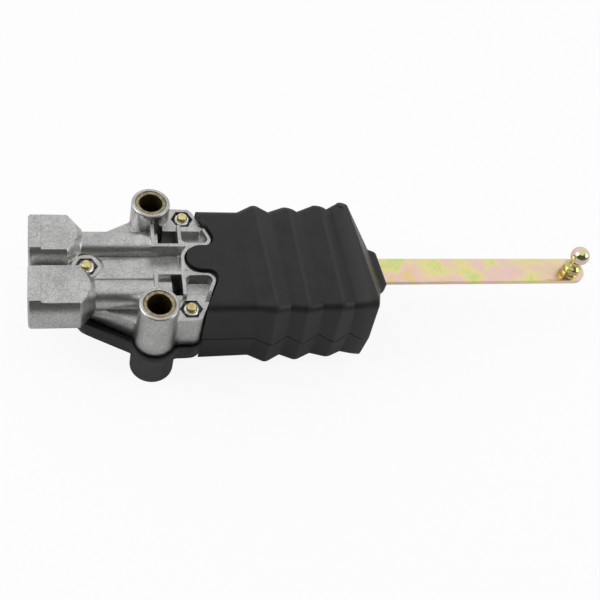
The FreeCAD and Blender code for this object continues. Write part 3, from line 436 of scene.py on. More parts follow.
def cast_aluminium(settings):
    """Pressure die-cast and blasted aluminium: dull grey, speckled, with faint flow marks."""
    material, tree, shader = new_material("cast_aluminium")
    place = (add(tree, "ShaderNodeTexCoord"), "Object")
    # The skin froze in faint patches a few millimetres across
    patches = add(tree, "ShaderNodeTexNoise", None, {
        "Vector": place, "Scale": 1 / (7 * MM), "Detail": 3.0, "Roughness": 0.5})
    # Blasting leaves pits of about 0.3 mm, drawn at 0.6 mm so that they show
    pits = add(tree, "ShaderNodeTexNoise", None, {
        "Vector": place, "Scale": 1 / (0.6 * MM), "Detail": 2.0, "Roughness": 0.6})
    mixed = add(tree, "ShaderNodeMix", {"data_type": "FLOAT"}, {
        0: 0.6, 2: (patches, "Fac"), 3: (pits, "Fac")})
    body = add(tree, "ShaderNodeValToRGB", None, {"Fac": (mixed, 0)}, [
        (0.36, settings.dark), (0.64, settings.bright), (0.5, settings.metal)])
    # Cold-flow marks wander over the surface as short worm-like lines
    drift = add(tree, "ShaderNodeTexNoise", None, {
        "Vector": place, "Scale": 1 / (2.5 * MM), "Detail": 3.0, "Roughness": 0.6})
    pushed = add(tree, "ShaderNodeVectorMath", {"operation": "SCALE"}, {
        0: (drift, "Color"), "Scale": 4 * MM})
    wander = add(tree, "ShaderNodeVectorMath", {"operation": "ADD"}, {0: place, 1: (pushed, 0)})
    net = add(tree, "ShaderNodeTexVoronoi", {"feature": "DISTANCE_TO_EDGE"}, {
        "Vector": (wander, 0), "Scale": 1 / (4.0 * MM)})
    lines = add(tree, "ShaderNodeMapRange", None, {
        "Value": (net, "Distance"), "From Max": 0.07, "To Min": 1.0, "To Max": 0.0})
    # They show in some places and not in others
    shown = add(tree, "ShaderNodeMapRange", None, {
        "Value": (patches, "Fac"), "From Min": 0.42, "From Max": 0.58, "To Max": 0.3})
    marks = add(tree, "ShaderNodeMath", {"operation": "MULTIPLY"}, {0: (lines, 0), 1: (shown, 0)})
    marked = add(tree, "ShaderNodeMix", {"data_type": "RGBA", "blend_type": "MULTIPLY"}, {
        0: (marks, 0), 6: (body, "Color"), 7: settings.mark})
    join(tree, marked, 2, shader, "Base Color")
    shader.inputs["Metallic"].default_value = 1.0
    rough = add(tree, "ShaderNodeMapRange", None, {
        "Value": (mixed, 0), "From Min": 0.3, "From Max": 0.7, "To Min": 0.38, "To Max": 0.26})
    join(tree, rough, 0, shader, "Roughness")
    height = add(tree, "ShaderNodeMath", {"operation": "SUBTRACT"}, {0: (mixed, 0), 1: (marks, 0)})
    relief = add(tree, "ShaderNodeBump", None, {
        "Height": (height, 0), "Strength": 0.4, "Distance": 0.08 * MM})
    join(tree, relief, "Normal", shader, "Normal")
    return material


def cover_plastic(settings):
    """Glass-filled nylon from a spark-eroded mould: near black, with a fine even grain."""
    material, tree, shader = new_material("cover_plastic")
    place = (add(tree, "ShaderNodeTexCoord"), "Object")
    # The eroded grain is about 0.1 mm, drawn at 0.35 mm so that it shows
    fine = add(tree, "ShaderNodeTexNoise", None, {
        "Vector": place, "Scale": 1 / (0.35 * MM), "Detail": 2.0, "Roughness": 0.6})
    clouds = add(tree, "ShaderNodeTexNoise", None, {
        "Vector": place, "Scale": 1 / (9 * MM), "Detail": 3.0, "Roughness": 0.6})
    shade = add(tree, "ShaderNodeValToRGB", None, {"Fac": (clouds, "Fac")}, [
        (0.3, linear("#B8B8B8")), (0.7, linear("#FFFFFF"))])
    tone = add(tree, "ShaderNodeMix", {"data_type": "RGBA", "blend_type": "MULTIPLY"}, {
        0: 0.5, 6: settings.plastic, 7: (shade, "Color")})
    join(tree, tone, 2, shader, "Base Color")
    rough = add(tree, "ShaderNodeMapRange", None, {
        "Value": (fine, "Fac"), "From Min": 0.3, "From Max": 0.7, "To Min": 0.48, "To Max": 0.38})
    join(tree, rough, 0, shader, "Roughness")
    shader.inputs["IOR"].default_value = 1.53
    shader.inputs["Specular IOR Level"].default_value = 0.3
    relief = add(tree, "ShaderNodeBump", None, {
        "Height": (fine, "Fac"), "Strength": 0.25, "Distance": 0.08 * MM})
    join(tree, relief, "Normal", shader, "Normal")
    return material


def boot_rubber(settings):
    """Moulded chloroprene rubber: dull black with a faint grey bloom and mould grain."""
    material, tree, shader = new_material("boot_rubber")
    place = (add(tree, "ShaderNodeTexCoord"), "Object")
    bloom = add(tree, "ShaderNodeTexNoise", None, {
        "Vector": place, "Scale": 1 / (7 * MM), "Detail": 5.0, "Roughness": 0.65})
    # The mould's blasted grain is about 0.15 mm, drawn at 0.45 mm so that it shows
    fine = add(tree, "ShaderNodeTexNoise", None, {
        "Vector": place, "Scale": 1 / (0.45 * MM), "Detail": 2.0, "Roughness": 0.7})
    mixed = add(tree, "ShaderNodeMix", {"data_type": "FLOAT"}, {
        0: 0.35, 2: (bloom, "Fac"), 3: (fine, "Fac")})
    tone = add(tree, "ShaderNodeValToRGB", None, {"Fac": (mixed, 0)}, [
        (0.38, settings.rubber), (0.68, settings.dust)])
    # The crests of the folds are painted a paler grey: partly real rubbing wear, partly a painted
    # highlight along them
    crest_paint_mask = add(tree, "ShaderNodeAttribute", {"attribute_name": "rubbed"})
    worn_and_highlit = add(tree, "ShaderNodeMix", {"data_type": "RGBA"}, {
        0: (crest_paint_mask, "Fac"), 6: (tone, "Color"), 7: settings.rubbed})
    join(tree, worn_and_highlit, 2, shader, "Base Color")
    rough = add(tree, "ShaderNodeMapRange", None, {
        "Value": (bloom, "Fac"), "From Min": 0.3, "From Max": 0.7, "To Min": 0.4, "To Max": 0.52})
    join(tree, rough, 0, shader, "Roughness")
    shader.inputs["IOR"].default_value = 1.52
    shader.inputs["Specular IOR Level"].default_value = 0.3
    relief = add(tree, "ShaderNodeBump", None, {
        "Height": (fine, "Fac"), "Strength": 0.3, "Distance": 0.08 * MM})
    join(tree, relief, "Normal", shader, "Normal")
    return material


def gasket_rubber():
    """Nitrile rubber sheet, die cut: flat black and slightly shiny on the cut edge."""
    material, tree, shader = new_material("gasket_rubber")
    place = (add(tree, "ShaderNodeTexCoord"), "Object")
    fine = add(tree, "ShaderNodeTexNoise", None, {
        "Vector": place, "Scale": 1 / (0.6 * MM), "Detail": 2.0, "Roughness": 0.6})
    tone = add(tree, "ShaderNodeValToRGB", None, {"Fac": (fine, "Fac")}, [
        (0.3, linear("#101010")), (0.7, linear("#1B1B1B"))])
    join(tree, tone, "Color", shader, "Base Color")
    shader.inputs["Roughness"].default_value = 0.55
    relief = add(tree, "ShaderNodeBump", None, {
        "Height": (fine, "Fac"), "Strength": 0.2, "Distance": 0.05 * MM})
    join(tree, relief, "Normal", shader, "Normal")
    return material


def plated_lever(settings):
    """Cold-rolled steel strip, zinc plated and yellow passivated: glossy, with drifting tints."""
    material, tree, shader = new_material("plated_lever")
    place = (add(tree, "ShaderNodeTexCoord"), "Object")
    # The passivation drains off in patches of about 9 mm
    drift = add(tree, "ShaderNodeTexNoise", None, {
        "Vector": place, "Scale": 1 / (9 * MM), "Detail": 3.0, "Roughness": 0.55,
        "Distortion": 0.5})
    fine = add(tree, "ShaderNodeTexNoise", None, {
        "Vector": place, "Scale": 1 / (0.8 * MM), "Detail": 3.0, "Roughness": 0.6})
    mixed = add(tree, "ShaderNodeMix", {"data_type": "FLOAT"}, {
        0: 0.2, 2: (drift, "Fac"), 3: (fine, "Fac")})
    tints = add(tree, "ShaderNodeValToRGB", None, {"Fac": (mixed, 0)}, [
        (0.37, settings.green), (0.62, settings.pink), (0.45, settings.yellow),
        (0.52, settings.tan)])
    join(tree, tints, "Color", shader, "Base Color")
    shader.inputs["Metallic"].default_value = 0.9
    rough = add(tree, "ShaderNodeMapRange", None, {
        "Value": (fine, "Fac"), "From Min": 0.3, "From Max": 0.7, "To Min": 0.26, "To Max": 0.4})
    join(tree, rough, 0, shader, "Roughness")
    relief = add(tree, "ShaderNodeBump", None, {
        "Height": (fine, "Fac"), "Strength": 0.12, "Distance": 0.05 * MM})
    join(tree, relief, "Normal", shader, "Normal")
    return material


def plated_stud(settings):
    """Turned steel, zinc plated and yellow passivated: mirror bright with pink and green tints."""
    material, tree, shader = new_material("plated_stud")
    place = (add(tree, "ShaderNodeTexCoord"), "Object")
    drift = add(tree, "ShaderNodeTexNoise", None, {
        "Vector": place, "Scale": 1 / (5 * MM), "Detail": 2.0, "Roughness": 0.5,
        "Distortion": 0.5})
    shank = add(tree, "ShaderNodeValToRGB", None, {"Fac": (drift, "Fac")}, [
        (0.42, settings.brass), (0.66, settings.green), (0.55, settings.brass)])
    ball = add(tree, "ShaderNodeValToRGB", None, {"Fac": (drift, "Fac")}, [
        (0.47, settings.ball_pale), (0.57, settings.green)])
    # The bath leaves the ball paler than the shank
    axes = add(tree, "ShaderNodeSeparateXYZ", None, {"Vector": place})
    up = add(tree, "ShaderNodeMapRange", None, {
        "Value": (axes, "Z"), "From Min": settings.ball_low,
        "From Max": settings.ball_low + 1 * MM})
    tints = add(tree, "ShaderNodeMix", {"data_type": "RGBA"}, {
        0: (up, 0), 6: (shank, "Color"), 7: (ball, "Color")})
    join(tree, tints, 2, shader, "Base Color")
    shader.inputs["Metallic"].default_value = 1.0
    # Turning grooves are under 0.1 mm, drawn at 0.3 mm so that they show
    turning = add(tree, "ShaderNodeTexNoise", None, {
        "Vector": place, "Scale": 1 / (0.3 * MM), "Detail": 1.0, "Roughness": 0.6})
    rough = add(tree, "ShaderNodeMapRange", None, {
        "Value": (turning, "Fac"), "From Min": 0.3, "From Max": 0.7, "To Min": 0.1, "To Max": 0.16})
    join(tree, rough, 0, shader, "Roughness")
    relief = add(tree, "ShaderNodeBump", None, {
        "Height": (turning, "Fac"), "Strength": 0.04, "Distance": 0.03 * MM})
    join(tree, relief, "Normal", shader, "Normal")
    return material


def mottled_metal(name, tint, dark, size, roughness):
    """A plated or machined metal with a soft mottle of two tones."""
    material, tree, shader = new_material(name)
    place = (add(tree, "ShaderNodeTexCoord"), "Object")
    mottle = add(tree, "ShaderNodeTexNoise", None, {
        "Vector": place, "Scale": 1 / size, "Detail": 4.0, "Roughness": 0.6})
    tone = add(tree, "ShaderNodeValToRGB", None, {"Fac": (mottle, "Fac")}, [
        (0.35, dark), (0.62, tint)])
    join(tree, tone, "Color", shader, "Base Color")
    shader.inputs["Metallic"].default_value = 1.0
    rough = add(tree, "ShaderNodeMapRange", None, {
        "Value": (mottle, "Fac"), "From Min": 0.3, "From Max": 0.7,
        "To Min": roughness + 0.08, "To Max": roughness - 0.06})
    join(tree, rough, 0, shader, "Roughness")
    relief = add(tree, "ShaderNodeBump", None, {
        "Height": (mottle, "Fac"), "Strength": 0.08, "Distance": 0.05 * MM})
    join(tree, relief, "Normal", shader, "Normal")
    return material


# Pieces

# Ports: mouth, distance of the axis from the middle, its height and the bore's radius
PORT_FACE_X = -46.3
PORT_Y = 12.15
PORT_Z = 29.9
PORT_BORE_R = 5.19


class VALVE_OT_casting(bpy.types.Operator):
    """Die-cast body with rounded edges and threaded ports"""
    bl_idname = "valve.casting"
    bl_label = "Casting"

    def execute(self, context):
        s = context.scene.valve_casting
        obj = merged_copy("valve_body", "casting")
        round_all_edges(obj, s.edge_round)
        for y in (-PORT_Y, PORT_Y):
            start = Vector((PORT_FACE_X, y, PORT_Z)) * MM
            turns = round(s.thread_length / s.thread_pitch)
            cut_thread(obj, start, (1, 0, 0), PORT_BORE_R * MM, s.thread_depth,
                       s.thread_pitch, turns)
        smooth(obj)
        dress(obj, "root", "cast_aluminium", cast_aluminium(s), "valve_body")
        return {"FINISHED"}


class VALVE_OT_cover(bpy.types.Operator):
    """Moulded lower cover with the frame that carries the boot"""
    bl_idname = "valve.cover"
    bl_label = "Lower cover"

    def execute(self, context):
        s = context.scene.valve_cover
        obj = merged_copy("lower_cover", "cover_moulding")
        round_all_edges(obj, s.edge_round)
        smooth(obj)
        dress(obj, "root", "cover_plastic", cover_plastic(s), "lower_cover")
        return {"FINISHED"}


class VALVE_OT_bushes(bpy.types.Operator):
    """Steel bushes pressed through the mounting bosses"""
    bl_idname = "valve.bushes"
    bl_label = "Bushes"

    def execute(self, context):
        s = context.scene.valve_fixings
        # Rolled steel strip with a dull brown phosphate coat
        metal = mottled_metal("bush_steel", s.bush, linear("#6E654C"), 1.5 * MM, 0.38)
        for side in ("front", "back"):
            node = "mount_bush_" + side
            obj = merged_copy(node, "bush_" + side)
            round_edges(obj, 1.6 * s.edge_round, segments=3)
            smooth(obj)
            dress(obj, "root", "bush_steel", metal, node)
        return {"FINISHED"}


# Nuts: place of the axis and height of the pad round the nut
SCREW_R = 2.0
NUT_PLACES = [(-25.2, 0.0, 32.4), (12.6, -21.8, 34.7), (12.6, 21.8, 34.7)]


class VALVE_OT_fixings(bpy.types.Operator):
    """Cover screws and their collared nuts"""
    bl_idname = "valve.fixings"
    bl_label = "Screws and nuts"

    def execute(self, context):
        s = context.scene.valve_fixings
        # Rolled steel screws with yellow passivated zinc
        yellow = mottled_metal("plated_screws", s.yellow, linear("#B5A468"), 1.2 * MM, 0.3)
        # Bright zinc plated nuts
        white = mottled_metal("zinc_nuts", s.zinc, linear("#D2D4D2"), 1.5 * MM, 0.32)
        screws = merged_copy("cover_screws", "screws")
        round_edges(screws, s.edge_round)
        for x, y, pad in NUT_PLACES:
            start = Vector((x, y, pad - 1.2)) * MM
            cut_thread(screws, start, (0, 0, 1), SCREW_R * MM, -s.thread_depth, s.thread_pitch, 3)
        smooth(screws)
        dress(screws, "root", "plated_screws", yellow, "cover_screws")
        nuts = merged_copy("cover_nuts", "nuts")
        self.draw_in_collars(nuts, s.collar_share)
        round_edges(nuts, s.edge_round)
        smooth(nuts)
        dress(nuts, "root", "zinc_nuts", white, "cover_nuts")
        return {"FINISHED"}

    def draw_in_collars(self, nuts, share):
        """The collar stands clear of the pocket in the casting."""
        bpy.ops.object.mode_set(mode="EDIT")
        for x, y, pad in NUT_PLACES:
            centre = Vector((x, y, pad)) * MM

            def on_collar(vertex):
                step = vertex.co - centre
                return step.z > -2.6 * MM and 2.3 * MM < step.to_2d().length < 4 * MM

            pick(nuts, verts=on_collar)
            bpy.ops.transform.resize(value=(share, share, 1), center_override=centre)
        bpy.ops.object.mode_set(mode="OBJECT")


# Sections of the boot in millimetres: place at the mould line, half width, underside and top,
# then the turn about the upright in degrees, how far the back top corner curls back, and the
# rounding of the bend
Section = namedtuple("Section", "x half_width low high turn curl bend")
BOOT_START = Section(-3.5, 24.4, 1.2, 38.6, 0.0, 0.0, 0.0)
BOOT_FOLDS = [Section(*row) for row in (
    (37.7, 24.4, 2.85, 38.5, 3.0, 0.0, 0.5),
    (44.9, 27.0, 0.6, 40.6, 3.0, 0.4, 1.3),
    (51.2, 24.7, 3.0, 38.45, 2.0, 1.2, 0.5),
    (58.4, 26.6, 1.15, 40.1, 0.9, 1.9, 1.3),
    (63.9, 24.6, 3.35, 38.9, 2.1, 2.0, 0.5),
    (71.6, 26.6, 2.9, 41.6, 1.1, 2.7, 1.3),
    (76.6, 25.0, 4.8, 39.9, 1.6, 2.7, 0.5),
    (81.5, 26.3, 4.6, 42.6, 2.6, 2.6, 0.3),
    (83.4, 26.5, 4.2, 43.6, 4.9, 0.0, 0.2),
    (84.3, 25.5, 5.2, 42.5, 5.0, 0.0, 0.3),
)]
# Height of the mould's line at each of these sections
MOULD_HEIGHTS = [17.3, 15.6, 19.3, 15.8, 20.0, 16.1, 20.8, 18.2, 18.0, 18.0]
SNOUT_SECTIONS = [Section(*row) for row in (
    (90.2, 9.9, 24.9, 31.3, 5.0, 0.0, 0.3),
    (92.6, 8.9, 25.2, 31.1, 5.0, 0.0, 0.3),
    (93.5, 8.2, 26.2, 30.7, 5.0, 0.0, 0.25),
    (93.5, 6.3, 27.2, 29.8, 5.0, 0.0, 0.0),
)]
# Sections wider than this are crests, painted paler this far to each side: partly real rubbing
# wear, partly a painted highlight
CREST_HALF_WIDTH = 26
CREST_PAINT_REACH = 1.1 * MM
# Steps of the back corner's curl, and how far to each side a fold takes the rubber along
CURL_STEPS = 8
CURL_REACH = 3 * MM


def off_section(point, section):
    """Distance along the boot from a point to the upright plane of a section."""
    return point.x - section.x * MM + point.y * math.tan(math.radians(section.turn))


def in_section(point, section):
    """Whether a point lies in the upright plane of a section."""
    return abs(off_section(point, section)) < 0.02 * MM


def extrude_section(old, new):
    """Pulls the selected loop on to the next section, stretches it to its size and turns it."""
    old_middle = (old.low + old.high) / 2 * MM
    centre = (new.x * MM, 0, (new.low + new.high) / 2 * MM)
    step = ((new.x - old.x) * MM, 0, centre[2] - old_middle)
    bpy.ops.mesh.extrude_edges_move(TRANSFORM_OT_translate={"value": step})
    stretch = (1, new.half_width / old.half_width, (new.high - new.low) / (old.high - old.low))
    bpy.ops.transform.rotate(value=math.radians(old.turn), orient_axis="Z", center_override=centre)
    bpy.ops.transform.resize(value=stretch, center_override=centre)
    bpy.ops.transform.rotate(value=-math.radians(new.turn), orient_axis="Z", center_override=centre)


class VALVE_OT_boot(bpy.types.Operator):
    """Moulded rubber boot: plain sleeve, four pleats and the snout round the lever"""
    bl_idname = "valve.boot"
    bl_label = "Boot"

    def execute(self, context):
        s = context.scene.valve_boot
        obj = self.outer_skin(s)
        self.mark_mould_line(obj, s)
        take(obj, "SOLIDIFY", thickness=s.wall, offset=-1.0, use_even_offset=True)
        self.trim(obj, s)
        smooth(obj, 35.0)
        obj.data.materials.clear()
        obj.data.materials.append(boot_rubber(s))
        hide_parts("boot")
        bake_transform(obj)
        return {"FINISHED"}

    def outer_skin(self, s):
        """Outer face of the rubber, open at the casting and at the lever."""
        start = BOOT_START
        width, height = 2 * start.half_width * MM, (start.high - start.low) * MM
        centre = (start.x * MM, 0, (start.low + start.high) / 2 * MM)
        bpy.ops.object.select_all(action="DESELECT")
        bpy.ops.mesh.primitive_plane_add(size=1, location=centre, rotation=(0, math.pi / 2, 0))
        obj = bpy.context.object
        obj.name = "rubber_boot"
        bpy.ops.object.transform_apply(location=True, rotation=True, scale=True)
        bpy.ops.object.mode_set(mode="EDIT")
        bpy.ops.transform.resize(value=(1, width, height), center_override=centre)
        bpy.ops.mesh.bevel(offset=s.corner_radius, segments=8, profile=0.5, affect="VERTICES")
        bpy.ops.mesh.select_all(action="SELECT")
        bpy.ops.mesh.bisect(plane_co=(0, 0, s.mould_line), plane_no=(0, 0, 1))
        bpy.ops.mesh.select_all(action="SELECT")
        bpy.ops.mesh.delete(type="ONLY_FACE")
        # The cut leaves an edge across the opening
        pick(obj, edges=lambda e: abs(e.verts[0].co.y - e.verts[1].co.y) > 0.99 * width)
        bpy.ops.mesh.delete(type="EDGE")
        bpy.ops.mesh.select_all(action="SELECT")
        sections = [start] + BOOT_FOLDS + SNOUT_SECTIONS
        for old, new in zip(sections, sections[1:]):
            extrude_section(old, new)
        self.wave_mould_line(obj)
        self.round_bends(obj)
        self.paint_crest_wear_and_highlight(obj)
        self.lean(obj, s)
        bpy.ops.mesh.select_all(action="SELECT")
        bpy.ops.mesh.normals_make_consistent(inside=False)
        bpy.ops.object.mode_set(mode="OBJECT")
        return obj

    def wave_mould_line(self, obj):
        """The line rises in the valleys of the pleats and falls on their crests."""
        for section, height in zip(BOOT_FOLDS, MOULD_HEIGHTS):
            pick(obj, verts=lambda v: in_section(v.co, section) and 11 * MM < v.co.z < 25 * MM)
            mesh = bmesh.from_edit_mesh(obj.data)
            present = [v.co.z for v in mesh.verts if v.select][0]
            bpy.ops.transform.translate(value=(0, 0, height * MM - present))

    def round_bends(self, obj):
        """Rounds each bend along its whole ring."""
        rim, mouth = SNOUT_SECTIONS[2:]
        for section in BOOT_FOLDS + SNOUT_SECTIONS[:3]:

            def on_ring(vertex):
                """The snout's rim and its mouth lie in one plane, and only the rim is rounded."""
                if section is not rim:
                    return in_section(vertex.co, section)
                inner, low, high = ((a + b) / 2 * MM for a, b in zip(rim[1:4], mouth[1:4]))
                _, y, z = vertex.co
                return in_section(vertex.co, rim) and (abs(y) > inner or z > high or z < low)

            pick(obj, edges=lambda e: all(on_ring(v) for v in e.verts))
            bpy.ops.mesh.bevel(offset=section.bend * MM, offset_type="OFFSET", segments=4,
                               profile=0.5, affect="EDGES", clamp_overlap=True)

    def paint_crest_wear_and_highlight(self, obj):
        """Marks the outward bends, which are painted paler: partly real rubbing wear, partly a
        painted highlight.
        """
        mesh = bmesh.from_edit_mesh(obj.data)
        rubbed = mesh.verts.layers.float.new("rubbed")
        ridges = [section for section in BOOT_FOLDS if section.half_width > CREST_HALF_WIDTH]
        for vertex in mesh.verts:
            nearest = min(abs(off_section(vertex.co, section)) for section in ridges)
            vertex[rubbed] = max(0.0, 1 - nearest / CREST_PAINT_REACH)
        bmesh.update_edit_mesh(obj.data)

    def lean(self, obj, s):
        """The folds run back above and below the mould line, and curl at the back corner."""
        first = (BOOT_FOLDS[0].x - 4) * MM
        last = (BOOT_FOLDS[-1].x + 2.5) * MM
        above = s.mould_line + 3 * MM
        below = s.mould_line - 4 * MM
        for section in BOOT_FOLDS:
            for step in range(CURL_STEPS):
                # Each step starts further out on the round corner
                side = section.half_width * MM - (0.8 - 0.09 * step) * s.corner_radius
                pick(obj, verts=lambda v: abs(off_section(v.co, section)) < CURL_REACH
                     and v.co.z > above and v.co.y > side)
                bpy.ops.transform.translate(value=(-section.curl / CURL_STEPS * MM, 0, 0))
        pick(obj, verts=lambda v: first < v.co.x < last and v.co.z > above)
        bpy.ops.transform.translate(value=(-s.lean_top, 0, 0))
        pick(obj, verts=lambda v: first < v.co.x < last and v.co.z < below)
        bpy.ops.transform.translate(value=(-s.lean_bottom, 0, 0))

    def mark_mould_line(self, obj, s):
        """A fine groove where the halves of the mould met."""
        # The line ends at this section, before the end crest, and stays within the band
        last = BOOT_FOLDS[-3]
        band = 4 * MM

        def on_line(edge):
            a, b = (v.co for v in edge.verts)
            flat = abs(a.x - b.x) > abs(a.y - b.y) and abs(a.x - b.x) > abs(a.z - b.z)
            near = all(abs(p.z - s.mould_line) < band and off_section(p, last) < 0.4 * MM
                       for p in (a, b))
            return flat and near

        select_only(obj)
        bpy.ops.object.mode_set(mode="EDIT")
        pick(obj, edges=on_line)
        bpy.ops.mesh.bevel(offset=s.mould_groove / 2, segments=1, affect="EDGES",
                           clamp_overlap=False)
        bpy.ops.mesh.select_mode(type="FACE")
        bpy.ops.mesh.inset(thickness=0.05 * MM, depth=-s.mould_groove)
        bpy.ops.object.mode_set(mode="OBJECT")

    def trim(self, obj, s):
        """Cuts the sleeve back to the casting's outline."""
        cutter = plate("trim_tool", trim_outline(s.gap), -10 * MM, 60 * MM)
        take(obj, "BOOLEAN", operation="DIFFERENCE", solver="EXACT", object=cutter)
        bpy.data.objects.remove(cutter)


# Outline of the casting beside the boot: foot of the slanting flank, its lean in degrees, the
# recess, and the rounding of the horns beside it
FLANK_X = 22.65
FLANK_Y = 11.3
FLANK_LEAN = 22.15
RECESS_X = 18.1
RECESS_R = 6.4
HORN_R = 3.5


def trim_outline(gap):
    """Plan of the casting grown by the gap, as corners with their cut-back runs."""
    slope = math.tan(math.radians(FLANK_LEAN))
    gap_mm = gap / MM
    half = RECESS_R - gap_mm
    side_x = FLANK_X + gap_mm / math.cos(math.radians(FLANK_LEAN))
    horn_x = side_x + slope * (FLANK_Y - half)
    far_y = 40.0
    far_x = side_x + slope * (FLANK_Y - far_y)
    floor_x = RECESS_X - half
    # A round corner starts this far from the corner of the straight sides
    horn_turn = math.radians(90 + FLANK_LEAN)
    horn_run = (HORN_R + gap_mm) * math.tan(horn_turn / 2)
    front = [
        (-30.0, -far_y, 0.0),
        (far_x, -far_y, 0.0),
        (horn_x, -half, horn_run),
        # A little less than half the recess, so that its two round corners don't meet
        (floor_x, -half, half * 0.999),
    ]
    corners = front + [(x, -y, run) for x, y, run in reversed(front)]
    return [(x * MM, y * MM, run * MM) for x, y, run in corners]


class VALVE_OT_lever(bpy.types.Operator):
    """Plated steel lever with its ball stud"""
    bl_idname = "valve.lever"
    bl_label = "Lever and ball stud"

    def execute(self, context):
        s = context.scene.valve_lever
        strip = merged_copy("lever", "lever_strip")
        round_edges(strip, s.edge_round, segments=3)
        smooth(strip)
        dress(strip, "lever_body", "plated_lever", plated_lever(s), "lever")
        stud = merged_copy("ball_stud", "stud")
        round_edges(stud, s.edge_round, segments=3)
        smooth(stud)
        dress(stud, "lever_body", "plated_stud", plated_stud(s), "ball_stud")
        return {"FINISHED"}


class VALVE_OT_check_spring(bpy.types.Operator):
    """Spring of the inlet check valve, which in the valve shortens as the poppet lifts; here it
    keeps its CAD shape, with its own mesh
    """
    bl_idname = "valve.check_spring"
    bl_label = "Check valve spring"

    def execute(self, context):
        # Oil-tempered spring wire
        metal = mottled_metal("spring_steel", linear("#7F8286"), linear("#54575B"), 0.8 * MM, 0.35)
        obj = merged_copy("check_spring", "check_spring_coil")
        smooth(obj)
        dress(obj, "root", "spring_steel", metal, "check_spring")
        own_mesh(obj)
        return {"FINISHED"}


class VALVE_OT_inner(bpy.types.Operator):
    """Finishes of the pieces inside the valve, which keep their CAD shapes"""
    bl_idname = "valve.inner"
    bl_label = "Inner pieces"

    def execute(self, context):
        finishes = {
            # Ground and hardened steel
            "shaft_steel": mottled_metal(
                "shaft_steel", linear("#B9BBBD"), linear("#8F9194"), 1 * MM, 0.28),
            # Turned brass and sintered bronze
            "bearing_brass": mottled_metal(
                "bearing_brass", linear("#C8A765"), linear("#9A7D45"), 1 * MM, 0.33),
            "gasket_rubber": gasket_rubber(),
            "spring_steel": bpy.data.materials["spring_steel"],
            "cover_plastic": bpy.data.materials["cover_plastic"],
            "plated_lever": bpy.data.materials["plated_lever"],
            "zinc_nuts": bpy.data.materials["zinc_nuts"],
        }
        slots = {row["node"]: row["material_slot"] for row in frame["record"]["subparts"]}
        for name, obj in frame["nodes"].items():
            if obj.hide_render:
                continue
            obj.data.materials.clear()
            obj.data.materials.append(finishes[slots[name]])
        return {"FINISHED"}


# Stage, in metres: radius, height, middle and foremost line of the card, and the lights' aim
CARD_RADIUS = 1.15
CARD_HEIGHT = 1.86
CARD_MIDDLE = (0.06, 0, 0.965)
CARD_EDGE_Y = -0.35
LIGHT_AIM = Vector((0.06, 0, 0.02))


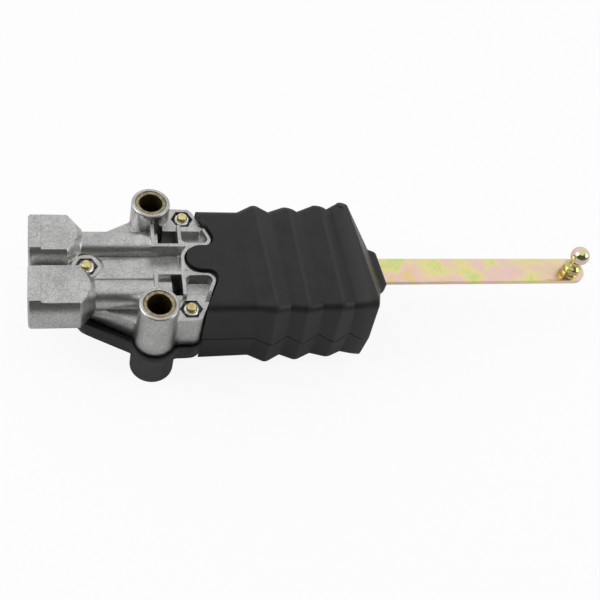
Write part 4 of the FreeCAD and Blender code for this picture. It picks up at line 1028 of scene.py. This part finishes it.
class VALVE_OT_stage(bpy.types.Operator):
    """Pale floor, soft light and the camera"""
    bl_idname = "valve.stage"
    bl_label = "Stage"

    def execute(self, context):
        s = context.scene.valve_studio
        self.floor(s)
        self.dark_side()
        self.softbox("key_softbox", (-0.80, 0.05, 0.72), 0.75, s.key)
        self.softbox("fill_softbox", (0.93, -0.36, 0.55), 0.55, s.fill)
        self.sky(s)
        self.camera(s)
        context.scene.view_settings.view_transform = "Standard"
        return {"FINISHED"}

    def floor(self, s):
        """Pale floor that nearly glows to the camera, as the photo's cut-out ground does."""
        bpy.ops.mesh.primitive_plane_add(size=8, location=(0, 0, -0.0002))
        floor = bpy.context.object
        floor.name = "floor"
        material, tree, shader = new_material("pale_floor")
        shader.inputs["Base Color"].default_value = s.floor
        shader.inputs["Roughness"].default_value = 0.8
        path = add(tree, "ShaderNodeLightPath")
        glow = add(tree, "ShaderNodeEmission", None, {"Color": (1, 1, 1, 1), "Strength": 1.0})
        seen = add(tree, "ShaderNodeMath", {"operation": "MULTIPLY"}, {
            0: (path, "Is Camera Ray"), 1: 0.9})
        mix = add(tree, "ShaderNodeMixShader", None, {
            0: (seen, 0), 1: (shader, "BSDF"), 2: (glow, "Emission")})
        tree.links.new(mix.outputs[0], tree.nodes["Material Output"].inputs["Surface"])
        floor.data.materials.append(material)

    def dark_side(self):
        """Dark curved card behind the camera, which the metal mirrors as a dark band."""
        bpy.ops.mesh.primitive_cylinder_add(vertices=64, radius=CARD_RADIUS, depth=CARD_HEIGHT,
                                            location=CARD_MIDDLE, end_fill_type="NOTHING")
        card = bpy.context.object
        card.name = "dark_card"
        bpy.ops.object.mode_set(mode="EDIT")
        pick(card, faces=lambda f: f.calc_center_median().y > CARD_EDGE_Y)
        bpy.ops.mesh.delete(type="FACE")
        bpy.ops.object.mode_set(mode="OBJECT")
        card.visible_camera = False
        material, tree, shader = new_material("dark_card")
        shader.inputs["Base Color"].default_value = linear("#646464")
        shader.inputs["Roughness"].default_value = 0.9
        card.data.materials.append(material)

    def softbox(self, name, place, size, power):
        """Round soft light, which the ball and the casting mirror as a bright spot."""
        light = bpy.data.lights.new(name, "AREA")
        light.shape = "DISK"
        light.size = size
        light.energy = power
        obj = bpy.data.objects.new(name, light)
        bpy.context.scene.collection.objects.link(obj)
        obj.location = place
        aim = LIGHT_AIM - Vector(place)
        obj.rotation_euler = aim.to_track_quat("-Z", "Y").to_euler()

    def sky(self, s):
        """White all round, weaker for the light that it throws than for what is seen of it."""
        world = bpy.data.worlds.new("studio")
        world.use_nodes = True
        tree = world.node_tree
        background = tree.nodes["Background"]
        path = add(tree, "ShaderNodeLightPath")
        seen = add(tree, "ShaderNodeMath", {"operation": "MAXIMUM"}, {
            0: (path, "Is Camera Ray"), 1: (path, "Is Transmission Ray")})
        seen = add(tree, "ShaderNodeMath", {"operation": "MAXIMUM"}, {
            0: (seen, 0), 1: (path, "Is Glossy Ray")})
        strength = add(tree, "ShaderNodeMapRange", None, {
            "Value": (seen, 0), "To Min": s.sky, "To Max": 1.0})
        background.inputs["Color"].default_value = (1, 1, 1, 1)
        tree.links.new(strength.outputs[0], background.inputs["Strength"])
        bpy.context.scene.world = world

    def camera(self, s):
        """Camera at the photo's place."""
        camera = bpy.data.cameras.new("camera")
        camera.sensor_width = 36.0
        camera.lens = s.lens
        camera.clip_start = 0.01
        camera.clip_end = 20.0
        obj = bpy.data.objects.new("camera", camera)
        bpy.context.scene.collection.objects.link(obj)
        obj.location = s.camera_place
        obj.rotation_euler = s.camera_turn
        bpy.context.scene.camera = obj


class VALVE_PT_panel(bpy.types.Panel):
    """Lists the pieces of the valve"""
    bl_idname = "VALVE_PT_panel"
    bl_label = "Leveling valve"
    bl_space_type = "VIEW_3D"
    bl_region_type = "UI"
    bl_category = "Valve"

    def draw(self, context):
        for operator in OPERATORS:
            self.layout.operator(operator.bl_idname)
        for name in GROUPS:
            box = self.layout.box()
            group = getattr(context.scene, name)
            for prop in group.bl_rna.properties:
                if prop.identifier not in ("rna_type", "name"):
                    box.prop(group, prop.identifier)


GROUPS = {
    "valve_casting": CastingSettings,
    "valve_cover": CoverSettings,
    "valve_fixings": FixingSettings,
    "valve_boot": BootSettings,
    "valve_lever": LeverSettings,
    "valve_studio": StudioSettings,
}

OPERATORS = (
    VALVE_OT_casting,
    VALVE_OT_cover,
    VALVE_OT_bushes,
    VALVE_OT_fixings,
    VALVE_OT_boot,
    VALVE_OT_lever,
    VALVE_OT_check_spring,
    VALVE_OT_inner,
    VALVE_OT_stage,
)


def register():
    for name, group in GROUPS.items():
        bpy.utils.register_class(group)
        setattr(bpy.types.Scene, name, bpy.props.PointerProperty(type=group))
    for operator in OPERATORS:
        bpy.utils.register_class(operator)
    bpy.utils.register_class(VALVE_PT_panel)


def unregister():
    bpy.utils.unregister_class(VALVE_PT_panel)
    for operator in reversed(OPERATORS):
        bpy.utils.unregister_class(operator)
    for name, group in reversed(GROUPS.items()):
        delattr(bpy.types.Scene, name)
        bpy.utils.unregister_class(group)


def main():
    register()
    bpy.ops.valve.casting()
    bpy.ops.valve.cover()
    bpy.ops.valve.bushes()
    bpy.ops.valve.fixings()
    bpy.ops.valve.boot()
    bpy.ops.valve.lever()
    bpy.ops.valve.check_spring()
    bpy.ops.valve.inner()
    bpy.ops.valve.stage()


if __name__ == "__main__":
    main()
